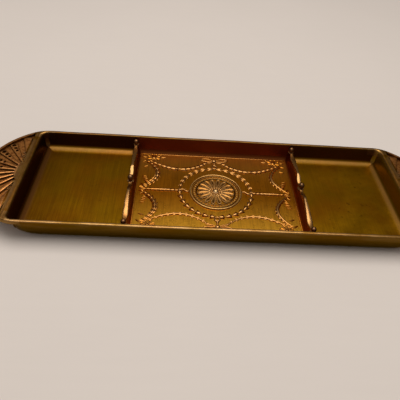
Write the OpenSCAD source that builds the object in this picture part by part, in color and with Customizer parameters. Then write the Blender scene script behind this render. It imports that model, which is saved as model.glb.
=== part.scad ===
// Low gilt metal dresser tray. A cast tub carries two solid arched end handles with fan relief.
// A loose ornamented plate covers the middle of the floor, and two crested dividers stand on its ends.
// Screws from below draw the dividers down on the plate. Felt pads keep the metal off the furniture.

/* [Tray] */
// Overall length over both end handles
tray_l = 252; // [246:1:270]
// Width over the rim
tray_w = 76; // [72:1:90]
// Height of the rim above the table
tray_h = 13; // [12:0.5:17]
// Length of the well between the end walls, at the rim
well_l = 204; // [194:1:208]
// Thickness of the long walls
wall_t = 1.8; // [1.5:0.1:2.4]
// Thickness of the end walls, under the handles
end_wall_t = 3; // [2.6:0.1:3.6]
// How far each wall leans out from foot to rim
wall_lean = 1.6; // [0.6:0.1:2.2]
// Radius of the corners of the well, at the rim
well_r = 5.5; // [5:0.5:8]
// Radius of the outer corners, at the rim
outer_r = 11; // [8:0.5:11.5]
// Thickness of the floor
floor_t = 2.4; // [2:0.1:3.2]
// Radius of the fillet between floor and walls
floor_fillet = 3; // [2.2:0.1:3.6]
// Radius of the outer bottom edge
bottom_r = 6; // [3:0.5:6.5]

/* [End handles] */
// How much the radius of the handle's arc exceeds half the tray's width
arc_extra = 4; // [3:0.5:16]
// Radius that blends the arc into the long side
corner_r = 18; // [8:0.5:20]
// Thickness of the handle plate
handle_t = 2.6; // [2.2:0.1:3.2]
// Depth of the sunk field of the fan
field_d = 0.9; // [0.5:0.1:1.2]
// Width of the raised edge round the field
edge_w = 1.8; // [1.2:0.1:3]
// Width of the plain band between the well and the field
band_w = 4; // [3:0.1:5]
// Radius of the half round hub of the fan, about the middle of the well's end
hub_r = 8.8; // [7:0.1:10]
// Number of reeds in each fan
reed_n = 11; // [7:2:13]
// Angle between the outermost reeds
fan_angle = 156; // [140:2:160]
// Height of the reeds above the field
reed_h = 0.8; // [0.5:0.1:1.1]
// Gap between one reed and the next at their tips
reed_gap = 0.6; // [0.3:0.1:1.2]
// Gap between the reeds and the edges of the field
fan_gap = 0.5; // [0.3:0.1:1]

/* [Floor plate] */
// Thickness of the plate
panel_t = 1.2; // [1:0.1:1.6]
// Gap between the plate and the tray's fillets
panel_gap = 0.15; // [0.1:0.05:0.3]
// Width of the raised line along the plate's long edges
line_w = 0.9; // [0.6:0.1:1.4]
// Height of that line
line_h = 0.4; // [0.2:0.1:0.6]
// Distance of that line from the plate's edge
line_in = 0.5; // [0.45:0.05:0.8]
// Gap between the ends of that line and the dividers' feet
line_gap = 0.2; // [0.1:0.1:1]

/* [Medallion] */
// Radius of the middle medallion
medallion_r = 14.4; // [13:0.2:15.6]
// Height of its disc above the plate
disc_h = 0.5; // [0.3:0.1:0.8]
// Radius of the section of its outer ring
rim_r = 0.7; // [0.5:0.1:0.9]
// How far that ring stands out over the edge of the disc
rim_out = 0.15; // [0.1:0.05:0.3]
// Width of the band of short bars inside that ring
bar_l = 1.7; // [1.2:0.1:2]
// Thickness of a bar
bar_t = 0.7; // [0.5:0.1:0.9]
// Height of a bar above the disc
bar_h = 0.4; // [0.3:0.1:0.6]
// Radius of the section of the inner ring
ring_t = 0.5; // [0.4:0.1:0.6]
// Number of petals
petal_n = 16; // [12:2:18]
// Radius of a petal at its root
root_r = 0.5; // [0.4:0.1:0.6]
// Radius of a petal at its tip
tip_r = 1.3; // [1:0.1:1.4]
// Gap between petals, bars and rings
medallion_gap = 0.2; // [0.1:0.05:0.4]
// Radius of the boss that carries the rivet's head
boss_r = 3; // [2.6:0.1:3.4]
// Height of that boss above the disc
boss_h = 1; // [0.8:0.1:1.4]

/* [Garlands] */
// Radius of the round garland
garland_r = 20; // [19:0.2:21]
// Number of beads in it
garland_n = 40; // [30:2:48]
// Radius of a bead
bead_r = 1; // [0.8:0.05:1.1]
// Distance of the corner rosettes from the plate's long edges
rosette_in = 7.5; // [6.5:0.5:9]
// Distance of the corner rosettes from the dividers' feet
rosette_gap = 7.8; // [6:0.2:9]
// Radius of the ring of petals of a corner rosette
rosette_r = 2.1; // [2:0.05:2.4]
// Radius of a petal of a corner rosette
rosette_bead = 0.95; // [0.8:0.05:0.95]
// Number of petals of a corner rosette
rosette_n = 6; // [5:1:6]
// Drop from the rosettes to where the long festoons hang
long_drop = 4.4; // [4.2:0.1:5.4]
// Dip of the long festoons, along the long edges
long_sag = 5.5; // [4.5:0.1:6.2]
// Number of beads on a long festoon
long_n = 12; // [8:1:13]
// Drop from the rosettes to where the side festoons hang
side_drop = 5.6; // [5:0.1:6.4]
// Bow of the side festoons, beside the dividers
side_sag = 5.4; // [4.6:0.1:6]
// Number of beads on a side festoon
side_n = 8; // [6:1:9]
// Half the width of the bows, where the long festoons end
bow_w = 5.4; // [5:0.1:6]
// Radius of the knot of each bow
knot_r = 1.8; // [1.5:0.1:2]
// Radius of the loops of each bow
loop_r = 1.3; // [1:0.1:1.4]
// Height of the knots above the plate
knot_h = 0.8; // [0.5:0.1:1]
// Pitch of the beads of the straight chains
chain_pitch = 2.4; // [2.25:0.05:3]

/* [Dividers] */
// Distance of each divider from the middle of the tray
div_x = 46.6; // [44:0.2:52]
// Thickness of a divider
div_t = 2.8; // [2.6:0.1:3.6]
// Width of a divider's foot moulding
foot_w = 4.4; // [4:0.1:6]
// Height of that moulding
foot_h = 0.9; // [0.6:0.1:1.4]
// Gap between a divider's ends and the walls
div_gap = 0.35; // [0.2:0.05:0.6]
// Height of the humps above the plate
hump_h = 7.3; // [6.6:0.1:9]
// Height of the low stretches beside the end balls
valley_h = 5.2; // [4.6:0.1:6.4]
// Height of the notches beside the middle ball
notch_h = 5.2; // [4.6:0.1:6.4]
// Distance of the humps from the middle
hump_y = 11.5; // [10:0.5:14]
// Distance of the notches from the middle
notch_y = 4.6; // [4:0.2:5.4]
// Distance of the low stretches from the end balls
valley_in = 5.2; // [4:0.2:7]
// Radius of the end balls
ball_r = 1.6; // [1.3:0.1:1.7]
// Height of the end balls' middle above the plate
ball_h = 6.8; // [6.4:0.1:8]
// Distance of the end balls from the divider's own ends
ball_in = 0.6; // [0.5:0.1:1]
// Radius of the middle ball
finial_r = 1.8; // [1.4:0.1:2.2]
// Height of the middle ball's middle above the plate
finial_h = 6.9; // [6.4:0.1:8]
// Depth by which each ball sinks into what carries it
ball_sink = 0.5; // [0.3:0.1:0.8]
// How far collars and scroll ends stand proud of the divider's faces
proud = 0.3; // [0.2:0.1:0.5]
// Height of the collar under each end ball
collar_h = 1.4; // [0.8:0.1:2]
// Radius of the scroll ends of the humps
volute_r = 1.7; // [1.2:0.1:1.9]
// Radius of the top bead of the drops on the faces
drop_r = 0.9; // [0.6:0.1:1]
// Pitch of the beads of a drop
drop_pitch = 1.4; // [1:0.1:1.5]

/* [Fixings] */
// Diameter of the screws
screw_d = 1.6; // [1.4:0.1:1.8]
// Diameter of the screw heads
head_d = 3; // [2.8:0.1:3.4]
// Depth of the screw thread in the divider
screw_in = 3.6; // [3:0.2:4]
// Room past the end of each screw
screw_room = 0.4; // [0.2:0.1:0.6]
// Distance of each screw from the middle of its divider
screw_y = 20; // [16:0.5:24]
// Width and depth of the slot in a screw head
slot = 0.4; // [0.3:0.05:0.5]
// Clearance round screws and rivet
fix_gap = 0.05; // [0.03:0.01:0.1]
// Diameter of the rivet's shank
rivet_d = 2; // [1.6:0.1:2.4]
// Diameter of the rivet's domed head
dome_d = 3.4; // [3:0.1:4]
// Height of that dome
dome_h = 1.1; // [0.8:0.1:1.4]
// Depth of the rivet's flush tail
tail_h = 1; // [0.6:0.1:1.2]
// Radius of the felt pads
pad_r = 6; // [4:0.5:6.5]
// Thickness of the felt pads
pad_t = 1; // [0.8:0.1:1.6]
// Distance of the middle of the pads from the ends of the well
pad_end = 22; // [20:1:40]
// Distance of the middle of the pads from the long sides
pad_side = 17; // [16:0.5:26]

/* [Hidden] */
$fn = 64;
fine_fn = 160;
small_fn = 24;
gold = [0.72, 0.55, 0.28];
old_gold = [0.62, 0.46, 0.22];
warm_gold = [0.78, 0.55, 0.25];
steel = [0.55, 0.52, 0.46];
felt = [0.16, 0.24, 0.17];

// Depth by which fused shapes reach into each other, and by which cuts pass the face they cut
lap = 0.2;

// Levels above the table
under_z = pad_t;
floor_z = pad_t + floor_t;
panel_z = floor_z + panel_t;
disc_z = panel_z + disc_h;
head_z = disc_z + boss_h;
field_z = tray_h - field_d;

// Plan of the tub: the corner centres of the well and of the outer walls, and the places of the pads
half_w = tray_w / 2;
corner_x = well_l / 2 - well_r;
corner_y = half_w - wall_t - well_r;
outer_x = well_l / 2 + end_wall_t - outer_r;
outer_y = half_w - outer_r;
pad_x = well_l / 2 - pad_end;
pad_y = half_w - pad_side;

// Sections of wall and well, with r measured outwards from a corner centre
lean_a = atan(wall_lean / (tray_h - floor_z));
in_foot = well_r - wall_lean;
out_foot = outer_r - (tray_h - under_z) * tan(lean_a);
round_c = [out_foot - bottom_r * (1 - sin(lean_a)) / cos(lean_a), under_z + bottom_r];
round_t = round_c + bottom_r * [cos(lean_a), -sin(lean_a)];
fillet_c = [in_foot - floor_fillet * (1 - sin(lean_a)) / cos(lean_a), floor_z + floor_fillet];
fillet_t = fillet_c + floor_fillet * [cos(lean_a), -sin(lean_a)];

// Reach of the inner wall, and of the fillet under it, from the middle line at a height
function wall_at(z) = corner_y + in_foot + (z - floor_z) * tan(lean_a);
function fillet_at(z) = corner_y + fillet_c[0] + sqrt(floor_fillet ^ 2 - (fillet_c[1] - z) ^ 2);

// Handle outline: centre of the arc, centre of the blend and where the blend touches the arc
arc_r = half_w + arc_extra;
arc_x = tray_l / 2 - arc_r;
blend_x = arc_x + sqrt((arc_r - corner_r) ^ 2 - (half_w - corner_r) ^ 2);
blend_y = half_w - corner_r;
touch_y = blend_y * arc_r / (arc_r - corner_r);

// Fan: where a reed at an angle starts and ends, measured from the middle of the well's end
hub_x = well_l / 2;
reed_step = fan_angle / (reed_n - 1);
tip_swell = 1.03;
field_r = arc_r - edge_w - fan_gap;
function reed_start(a) = max(hub_r + fan_gap, (band_w + fan_gap) / cos(a));
function reed_end(a) =
    min((arc_x - hub_x) * cos(a) + sqrt(field_r ^ 2 - ((hub_x - arc_x) * sin(a)) ^ 2),
        (half_w - edge_w - fan_gap) / max(abs(sin(a)), 0.1));
function reed_r(t) = t * tan(reed_step / 2) - reed_gap / 2;

// Floor plate
panel_hx = div_x + foot_w / 2;
panel_hy = fillet_at(panel_z) - panel_gap;
panel_foot_hy = corner_y + fillet_c[0] - panel_gap;
between_feet = div_x - foot_w / 2;
rim_mid = medallion_r - rim_r + rim_out;
bar_mid = rim_mid - rim_r - medallion_gap - bar_l / 2;
ring_r = bar_mid - bar_l / 2 - medallion_gap - ring_t;
rosette = [between_feet - rosette_gap, panel_hy - rosette_in];
bow_y = rosette[1] + bead_r;
long_from = [bow_w, bow_y - 2 * bead_r];
long_to = rosette - [long_drop - bead_r, long_drop];
side_from = rosette - [rosette_bead, side_drop];
side_to = [between_feet - 2 * bead_r, 2.5 * bead_r];
chain_x = garland_r + 2 * bead_r + chain_pitch / 2;
chain_n = floor((between_feet - bead_r - chain_x) / chain_pitch);

// Dividers: the stations of the crest, from the middle to the end ball
ball_y = wall_at(panel_z + ball_h) - div_gap - ball_in - ball_r;
end_z = panel_z + valley_h + lap;
knee_z = fillet_c[1];
crest_y = [0, notch_y, hump_y, ball_y - valley_in, ball_y];
crest_h = [finial_h - finial_r + ball_sink, notch_h, hump_h, valley_h, ball_h - ball_r + ball_sink];
crest_steps = 44;
function ease(t) = (1 - cos(180 * t)) / 2;
function between(y, i) = ease((y - crest_y[i]) / (crest_y[i + 1] - crest_y[i]));
function crest(y, i = 0) =
    y > crest_y[i + 1] && i < len(crest_y) - 2
    ? crest(y, i + 1)
    : crest_h[i] + (crest_h[i + 1] - crest_h[i]) * between(y, i);
foot_hy = panel_hy - div_gap;
volute_y = notch_y + 2 * volute_r - ball_sink;
volute_z = panel_z + hump_h - volute_r - ball_sink;

// Section of the outer wall with its round bottom edge
module outer_section() {
    difference() {
        polygon([[0, under_z], [out_foot, under_z], [outer_r, tray_h], [0, tray_h]]);
        difference() {
            polygon([
                [round_c[0], under_z - lap], [out_foot + bottom_r, under_z - lap],
                round_t + [bottom_r, 0], round_t, round_c
            ]);
            translate(round_c) circle(r = bottom_r);
        }
    }
}

// Section of the well with the fillet at its floor
module well_section() {
    difference() {
        polygon([
            [0, floor_z], [in_foot, floor_z], [well_r + lap * tan(lean_a), tray_h + lap], [0, tray_h + lap]
        ]);
        difference() {
            polygon([
                [fillet_c[0], floor_z - lap], [in_foot + lap, floor_z - lap],
                fillet_t + [lap, 0], fillet_t, fillet_c
            ]);
            translate(fillet_c) circle(r = floor_fillet);
        }
    }
}

// A block with leaning sides and revolved corners, from a section drawn outwards from a corner centre
module leaning_block(x, y, from, to) {
    translate([-x, -y, from]) cube([2 * x, 2 * y, to - from]);
    for (turn = [0, 180]) {
        rotate([0, 0, turn]) {
            translate([-x, y, 0]) rotate([90, 0, 90]) linear_extrude(2 * x) children();
            translate([x, y, 0]) rotate([90, 0, 0]) linear_extrude(2 * y) children();
        }
        for (side = [0, 1]) {
            mirror([side, 0, 0]) rotate([0, 0, turn]) translate([x, y, 0])
                rotate_extrude(angle = 90) children();
        }
    }
}

module tub() {
    difference() {
        leaning_block(outer_x, outer_y, under_z, tray_h) outer_section();
        leaning_block(corner_x, corner_y, floor_z, tray_h + lap) well_section();
    }
}

// Plan of the well out to the middle of its walls
module well_plan() {
    reach = well_r + wall_t / 2;
    square([2 * corner_x, 2 * (corner_y + reach)], center = true);
    square([2 * (corner_x + reach), 2 * corner_y], center = true);
    for (x = [-1, 1], y = [-1, 1]) {
        translate([x * corner_x, y * corner_y]) circle(r = reach);
    }
}

// Plan of the right handle: arc, blended corners and a straight run back to the well's corner
module handle_plan() {
    difference() {
        union() {
            intersection() {
                translate([arc_x, 0]) circle(r = arc_r, $fn = fine_fn);
                translate([arc_x, -touch_y]) square([2 * arc_r, 2 * touch_y]);
            }
            translate([arc_x, -half_w]) square([blend_x - arc_x, tray_w]);
            for (side = [-1, 1]) {
                translate([blend_x, side * blend_y]) circle(r = corner_r, $fn = fine_fn);
            }
        }
        well_plan();
        translate([0, -tray_w]) square([corner_x, 2 * tray_w]);
    }
}

// Plan of the sunk field of the right handle
module field_plan() {
    difference() {
        intersection() {
            translate([arc_x, 0]) circle(r = arc_r - edge_w, $fn = fine_fn);
            translate([hub_x + band_w, edge_w - half_w]) square([tray_l, tray_w - 2 * edge_w]);
        }
        translate([hub_x, 0]) circle(r = hub_r);
    }
}

// A reed along X with a level back, widening to a round tip
module reed(from, to) {
    r1 = reed_r(from);
    r2 = reed_r(to) / (1 + tan(reed_step / 2));
    end = to - r2;
    dip = atan((r2 - r1) / (end - from));
    translate([from, 0, -r1]) rotate([0, 90 + dip, 0])
        cylinder(h = (end - from) / cos(dip), r1 = r1, r2 = r2, $fn = small_fn);
    translate([end, 0, -r2]) sphere(r = tip_swell * r2, $fn = small_fn);
}

// Fan of the right handle, whose lower half lies in the handle
module fan() {
    translate([hub_x, 0, field_z + reed_h]) {
        for (i = [0:reed_n - 1]) {
            a = i * reed_step - fan_angle / 2;
            rotate([0, 0, a]) reed(reed_start(a), reed_end(a));
        }
    }
}

// The field is sunk round the fan, so that the reeds stay standing
module right_handle() {
    difference() {
        translate([0, 0, tray_h - handle_t]) linear_extrude(handle_t) handle_plan();
        difference() {
            translate([0, 0, field_z]) linear_extrude(field_d + lap) field_plan();
            fan();
        }
    }
}

// A hole through the floor or the plate, and the seat of a flush cone in the underside
module through_hole(d, from, to) {
    translate([0, 0, from - lap]) cylinder(h = to - from + 2 * lap, r = d / 2 + fix_gap);
}

module cone_seat(d, big_d, depth) {
    slope = (big_d - d) / 2 / depth;
    translate([0, 0, under_z - lap])
        cylinder(h = depth + lap, r1 = big_d / 2 + slope * lap + fix_gap, r2 = d / 2 + fix_gap);
}

module tray_body() {
    color(gold) difference() {
        union() {
            tub();
            right_handle();
            mirror([1, 0, 0]) right_handle();
        }
        through_hole(rivet_d, under_z, floor_z);
        cone_seat(rivet_d, rivet_d + 2 * tail_h, tail_h);
        screw_places() {
            through_hole(screw_d, under_z, floor_z);
            cone_seat(screw_d, head_d, (head_d - screw_d) / 2);
        }
    }
}

module bead() {
    sphere(r = bead_r, $fn = small_fn);
}

// A string of beads between two points of the plate, bowed to the right of its way by its sag
module festoon(p, q, sag, beads) {
    c = norm(q - p);
    r = (c ^ 2 / 4 + sag ^ 2) / (2 * sag);
    a = asin(c / (2 * r));
    translate([(p[0] + q[0]) / 2, (p[1] + q[1]) / 2, panel_z])
        rotate([0, 0, atan2(q[1] - p[1], q[0] - p[0])]) translate([0, r - sag, 0]) rotate([0, 0, -90 - a]) {
            for (i = [0:beads - 1]) {
                rotate([0, 0, 2 * a * i / (beads - 1)]) translate([r, 0, 0]) bead();
            }
        }
}

// A petal along X that widens to a round tip
module petal(from, to) {
    translate([from, 0, 0]) rotate([0, 90, 0])
        cylinder(h = to - tip_r - from, r1 = root_r, r2 = tip_r, $fn = small_fn);
    translate([to - tip_r, 0, 0]) sphere(r = tip_r, $fn = small_fn);
}

module ring(r, t) {
    rotate_extrude() translate([r, 0]) circle(r = t, $fn = small_fn);
}

// Medallion: disc, outer ring, band of short bars, inner ring, petals and the boss under the rivet
module medallion() {
    translate([0, 0, panel_z - lap]) cylinder(h = disc_h + lap, r = medallion_r);
    translate([0, 0, disc_z]) {
        ring(rim_mid, rim_r);
        ring(ring_r, ring_t);
        for (i = [0:2 * petal_n - 1]) {
            rotate([0, 0, 180 * i / petal_n]) translate([bar_mid, 0, 0])
                cube([bar_l, bar_t, 2 * bar_h], center = true);
        }
        for (i = [0:petal_n - 1]) {
            rotate([0, 0, 360 * i / petal_n]) petal(boss_r - lap, ring_r - ring_t - medallion_gap);
        }
        translate([0, 0, -lap]) cylinder(h = boss_h + lap, r = boss_r);
    }
}

// Rosette, bow loop and festoons of the right back quarter
module quarter_ornament() {
    translate([rosette[0], rosette[1], panel_z]) {
        sphere(r = rosette_r - rosette_bead - medallion_gap, $fn = small_fn);
        for (i = [0:rosette_n - 1]) {
            rotate([0, 0, 360 * i / rosette_n]) translate([rosette_r, 0, 0])
                sphere(r = rosette_bead, $fn = small_fn);
        }
    }
    festoon(long_from, long_to, long_sag, long_n);
    festoon(side_from, side_to, side_sag, side_n);
    translate([knot_r + medallion_gap + loop_r, bow_y, panel_z]) sphere(r = loop_r, $fn = small_fn);
}

// Knot of the bow in the middle of a long edge, with the bead that hangs from it
module knot() {
    translate([0, bow_y, panel_z - lap]) cylinder(h = knot_h + lap, r = knot_r);
    translate([0, bow_y - knot_r - medallion_gap - bead_r, panel_z]) bead();
}

// The plain plate, with bevelled long edges that clear the fillets
module plate() {
    translate([-panel_hx, 0, floor_z]) rotate([90, 0, 90]) linear_extrude(2 * panel_hx)
        polygon([[-panel_foot_hy, 0], [panel_foot_hy, 0], [panel_hy, panel_t], [-panel_hy, panel_t]]);
    for (side = [-1, 1]) {
        translate([0, side * (panel_hy - line_in - line_w / 2), panel_z + (line_h - lap) / 2])
            cube([2 * (between_feet - line_gap), line_w, line_h + lap], center = true);
    }
}

module relief_panel() {
    color(warm_gold) difference() {
        union() {
            plate();
            medallion();
            translate([0, 0, panel_z]) {
                for (i = [0:garland_n - 1]) {
                    rotate([0, 0, 360 * (i + 0.5) / garland_n]) translate([garland_r, 0, 0]) bead();
                }
                for (side = [-1, 1], i = [0:chain_n - 1]) {
                    translate([side * (chain_x + chain_pitch * i), 0, 0]) bead();
                }
            }
            for (y = [0, 1]) {
                mirror([0, y, 0]) knot();
                for (x = [0, 1]) {
                    mirror([x, 0, 0]) mirror([0, y, 0]) quarter_ornament();
                }
            }
        }
        through_hole(rivet_d, floor_z, head_z);
        screw_places() through_hole(screw_d, floor_z, panel_z);
    }
}

// Rivet with a domed head on the medallion and a flush tail under the floor
module center_rivet() {
    dome_r = (dome_d ^ 2 / 4 + dome_h ^ 2) / (2 * dome_h);
    color(warm_gold) translate([0, 0, under_z]) {
        cylinder(h = head_z - under_z + lap, r = rivet_d / 2);
        cylinder(h = tail_h, r1 = rivet_d / 2 + tail_h, r2 = rivet_d / 2);
        translate([0, 0, head_z - under_z]) intersection() {
            translate([0, 0, dome_h - dome_r]) sphere(r = dome_r);
            translate([-dome_d, -dome_d, 0]) cube(2 * dome_d);
        }
    }
}

// Both screw places of both dividers
module screw_places() {
    for (x = [-1, 1], y = [-1, 1]) {
        translate([x * div_x, y * screw_y, 0]) children();
    }
}

// Outline of a divider across the tray: foot, leaning ends and crest
module divider_plan() {
    ends = [[wall_at(knee_z) - div_gap, knee_z], [wall_at(end_z) - div_gap, end_z]];
    polygon(concat(
        [[-foot_hy, panel_z], [foot_hy, panel_z]],
        ends,
        [for (i = [0:crest_steps]) let (y = ball_y * (1 - 2 * i / crest_steps)) [y, panel_z + crest(abs(y))]],
        [for (i = [1, 0]) [-ends[i][0], ends[i][1]]]
    ));
}

// Ball, collar and scroll end of one half of a divider
module divider_half() {
    translate([0, ball_y, panel_z + ball_h]) sphere(r = ball_r);
    translate([0, ball_y, end_z - collar_h])
        cylinder(h = panel_z + ball_h - ball_r + ball_sink - end_z + collar_h, r = div_t / 2 + proud);
    translate([-div_t / 2 - proud, volute_y, volute_z])
        rotate([0, 90, 0]) cylinder(h = div_t + 2 * proud, r = volute_r);
}

module divider() {
    difference() {
        union() {
            translate([-div_t / 2, 0, 0]) rotate([90, 0, 90]) linear_extrude(div_t) divider_plan();
            translate([-foot_w / 2, div_gap - foot_hy, panel_z])
                cube([foot_w, 2 * (foot_hy - div_gap), foot_h]);
            translate([0, 0, panel_z + finial_h]) sphere(r = finial_r);
            for (side = [0, 1]) {
                mirror([0, side, 0]) divider_half();
                mirror([side, 0, 0]) translate([div_t / 2, 0, panel_z + finial_h - finial_r - ball_sink]) {
                    for (i = [0:2]) {
                        translate([0, 0, -drop_pitch * i]) sphere(r = drop_r * (1 - i / 8), $fn = small_fn);
                    }
                }
            }
        }
        for (side = [-1, 1]) {
            translate([0, side * screw_y, panel_z - lap])
                cylinder(h = screw_in + screw_room + lap, r = screw_d / 2 + fix_gap);
        }
    }
}

module left_divider() {
    color(old_gold) translate([-div_x, 0, 0]) divider();
}

module right_divider() {
    color(old_gold) translate([div_x, 0, 0]) divider();
}

// Four slotted countersunk screws, heads flush with the underside
module divider_screws() {
    color(steel) screw_places() translate([0, 0, under_z]) difference() {
        union() {
            cylinder(h = (head_d - screw_d) / 2, r1 = head_d / 2, r2 = screw_d / 2);
            cylinder(h = floor_t + panel_t + screw_in, r = screw_d / 2);
        }
        translate([-head_d, -slot / 2, -lap]) cube([2 * head_d, slot, slot + lap]);
    }
}

module felt_pad(x, y) {
    color(felt) translate([x * pad_x, y * pad_y, 0]) cylinder(h = pad_t, r = pad_r);
}

module felt_pad_front_left() {
    felt_pad(-1, -1);
}

module felt_pad_front_right() {
    felt_pad(1, -1);
}

module felt_pad_back_left() {
    felt_pad(-1, 1);
}

module felt_pad_back_right() {
    felt_pad(1, 1);
}

tray_body();
relief_panel();
center_rivet();
left_divider();
right_divider();
divider_screws();
felt_pad_front_left();
felt_pad_front_right();
felt_pad_back_left();
felt_pad_back_right();
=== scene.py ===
from math import atan, atan2, copysign, cos, hypot, pi, radians, sin, sqrt, tan

import bmesh
import bpy
from bpy.props import FloatProperty, FloatVectorProperty, IntProperty, PointerProperty
from mathutils import Matrix, Vector, noise


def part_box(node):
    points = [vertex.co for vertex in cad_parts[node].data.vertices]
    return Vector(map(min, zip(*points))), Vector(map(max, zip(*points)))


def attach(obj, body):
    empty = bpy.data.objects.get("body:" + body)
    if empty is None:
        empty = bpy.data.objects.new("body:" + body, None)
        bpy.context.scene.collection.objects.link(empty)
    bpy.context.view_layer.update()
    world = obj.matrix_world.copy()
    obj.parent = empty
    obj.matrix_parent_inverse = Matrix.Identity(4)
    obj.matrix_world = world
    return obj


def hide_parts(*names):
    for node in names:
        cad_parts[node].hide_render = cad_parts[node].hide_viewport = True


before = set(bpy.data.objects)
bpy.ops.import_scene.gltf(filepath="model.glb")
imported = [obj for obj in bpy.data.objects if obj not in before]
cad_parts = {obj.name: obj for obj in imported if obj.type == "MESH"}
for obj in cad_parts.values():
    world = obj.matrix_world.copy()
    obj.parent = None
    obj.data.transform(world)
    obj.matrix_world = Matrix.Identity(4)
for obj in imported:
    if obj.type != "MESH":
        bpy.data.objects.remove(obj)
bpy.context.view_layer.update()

bl_info = {
    "name": "Gilt dresser tray",
    "version": (1, 0, 0),
    "blender": (4, 5, 0),
    "location": "View3D > Sidebar > Dresser Tray",
    "description": "Dresses the solids of a gilt dresser tray with modelled relief, finishes and a stage",
    "category": "Object",
}

MM = 0.001
PER_MM = 1.0 / MM
# Distance of the dividers from the middle, in millimetres.
DIVIDER_X = 46.6
BODY = "root"


def length(label, about, default, low=0.0):
    """A size in millimetres, or a slope, that a user may change."""
    return FloatProperty(name=label, description=about, default=default, min=low, max=400.0)


def tone(label, about, default):
    """A colour of a finish, in linear values."""
    return FloatVectorProperty(name=label, description=about, default=default, size=3,
                               subtype="COLOR", min=0.0, max=1.0)


class TraySizes(bpy.types.PropertyGroup):
    """Sizes of the casting, in millimetres."""
    half_length: length("Half length", "From the middle to the tip of a handle", 126.0)
    half_width: length("Half width", "From the middle to the outside of the rim", 38.0)
    rim_z: length("Rim height", "Top of the rim above the table", 13.0)
    under_z: length("Underside height", "Underside of the floor above the table", 1.0)
    floor_z: length("Floor height", "Top of the floor above the table", 3.1)
    well_half: length("Half well", "From the middle to the end of the well, at the rim", 102.0)
    wall: length("Wall", "Thickness of the long walls", 1.8)
    end_wall: length("End wall", "Thickness of the end walls", 3.0)
    lean: length("Lean", "How far an outer wall leans out for each millimetre of height", 1.0 / 6.0)
    well_lean: length("Well lean", "How far a wall of the well leans out for each millimetre of height", 0.21)
    well_round: length("Well corners", "Radius of the corners of the well at the rim", 3.4)
    outer_round: length("Outer corners", "Radius of the outer corners at the rim", 11.0)
    fillet: length("Fillet", "Radius at the foot of the inner walls", 2.6)
    dish: length("Dish", "Radius of the floor's upturned edges", 10.0)
    bottom_round: length("Bottom edge", "Radius of the outer bottom edge", 4.2)
    arc: length("Handle arc", "Radius of the arched end of a handle", 42.0)
    blend: length("Handle corner", "Radius that blends the arch into the long side", 18.0)
    handle: length("Handle thickness", "Thickness of the handle plates", 2.6)
    long_lip: length("Long lip", "Radius of the inner edge of the rim along the sides", 0.55)
    end_lip: length("End lip", "Radius of the inner edge of the rim at the ends", 1.5)
    wobble: length("Wobble", "Unevenness of the cast walls", 0.16)


class FanSizes(bpy.types.PropertyGroup):
    """Sizes of the fan relief on the handles, in millimetres."""
    depth: length("Field depth", "Depth of the sunk field", 1.5)
    edge: length("Edge", "Width of the raised outer edge", 1.8)
    band: length("Band", "Width of the plain band beside the well", 3.4)
    hub: length("Hub", "How far the shallow hub bulges from the band", 2.3)
    hub_half: length("Hub half width", "Half the width of the hub where it leaves the band", 8.0)
    source: length("Source", "Distance of the point that the reeds come from, outside the well", -1.0,
                   -20.0)
    reeds: IntProperty(name="Reeds", description="Number of reeds in a fan", default=10, min=3)
    spread: FloatProperty(name="Spread", description="Angle between the outermost reeds",
                          default=radians(150), subtype="ANGLE")


class ReliefSizes(bpy.types.PropertyGroup):
    """Sizes of the ornamented floor plate, in millimetres."""
    half_x: length("Half length", "From the middle to the ends under the dividers", 48.8)
    half_y: length("Half width", "From the middle to the long edges, at the top", 32.3)
    foot_y: length("Half width below", "From the middle to the long edges, at the underside", 29.6)
    top_z: length("Top", "Top of the plain plate above the table", 3.7)
    thick: length("Thickness", "Thickness of the plain plate", 0.6)
    garland: length("Garland", "Radius of the round garland", 20.0)
    husks: IntProperty(name="Husks", description="Husks on half of the round garland", default=17)
    petals: IntProperty(name="Petals", description="Petals of the medallion", default=16)
    ticks: IntProperty(name="Ticks", description="Ticks round the medallion", default=44)


class DividerSizes(bpy.types.PropertyGroup):
    """Sizes of the crested dividers, in millimetres."""
    place: length("Place", "Distance of each divider from the middle", DIVIDER_X)
    crest: length("Crest", "Height of the valleys of the crest above the table", 9.8)
    set_out: length("Set out", "How far the crest stands outside the middle of the foot", 0.35)
    foot: length("Foot", "Half the width of the foot", 2.0)
    reach: length("Reach", "From the middle to the ends at the foot", 34.1)
    ball_y: length("End balls", "Distance of the end balls from the middle line", 33.4)
    ball: length("Ball radius", "Radius of the end balls", 1.45)
    finial: length("Finial radius", "Radius of the middle ball", 1.65)


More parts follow.
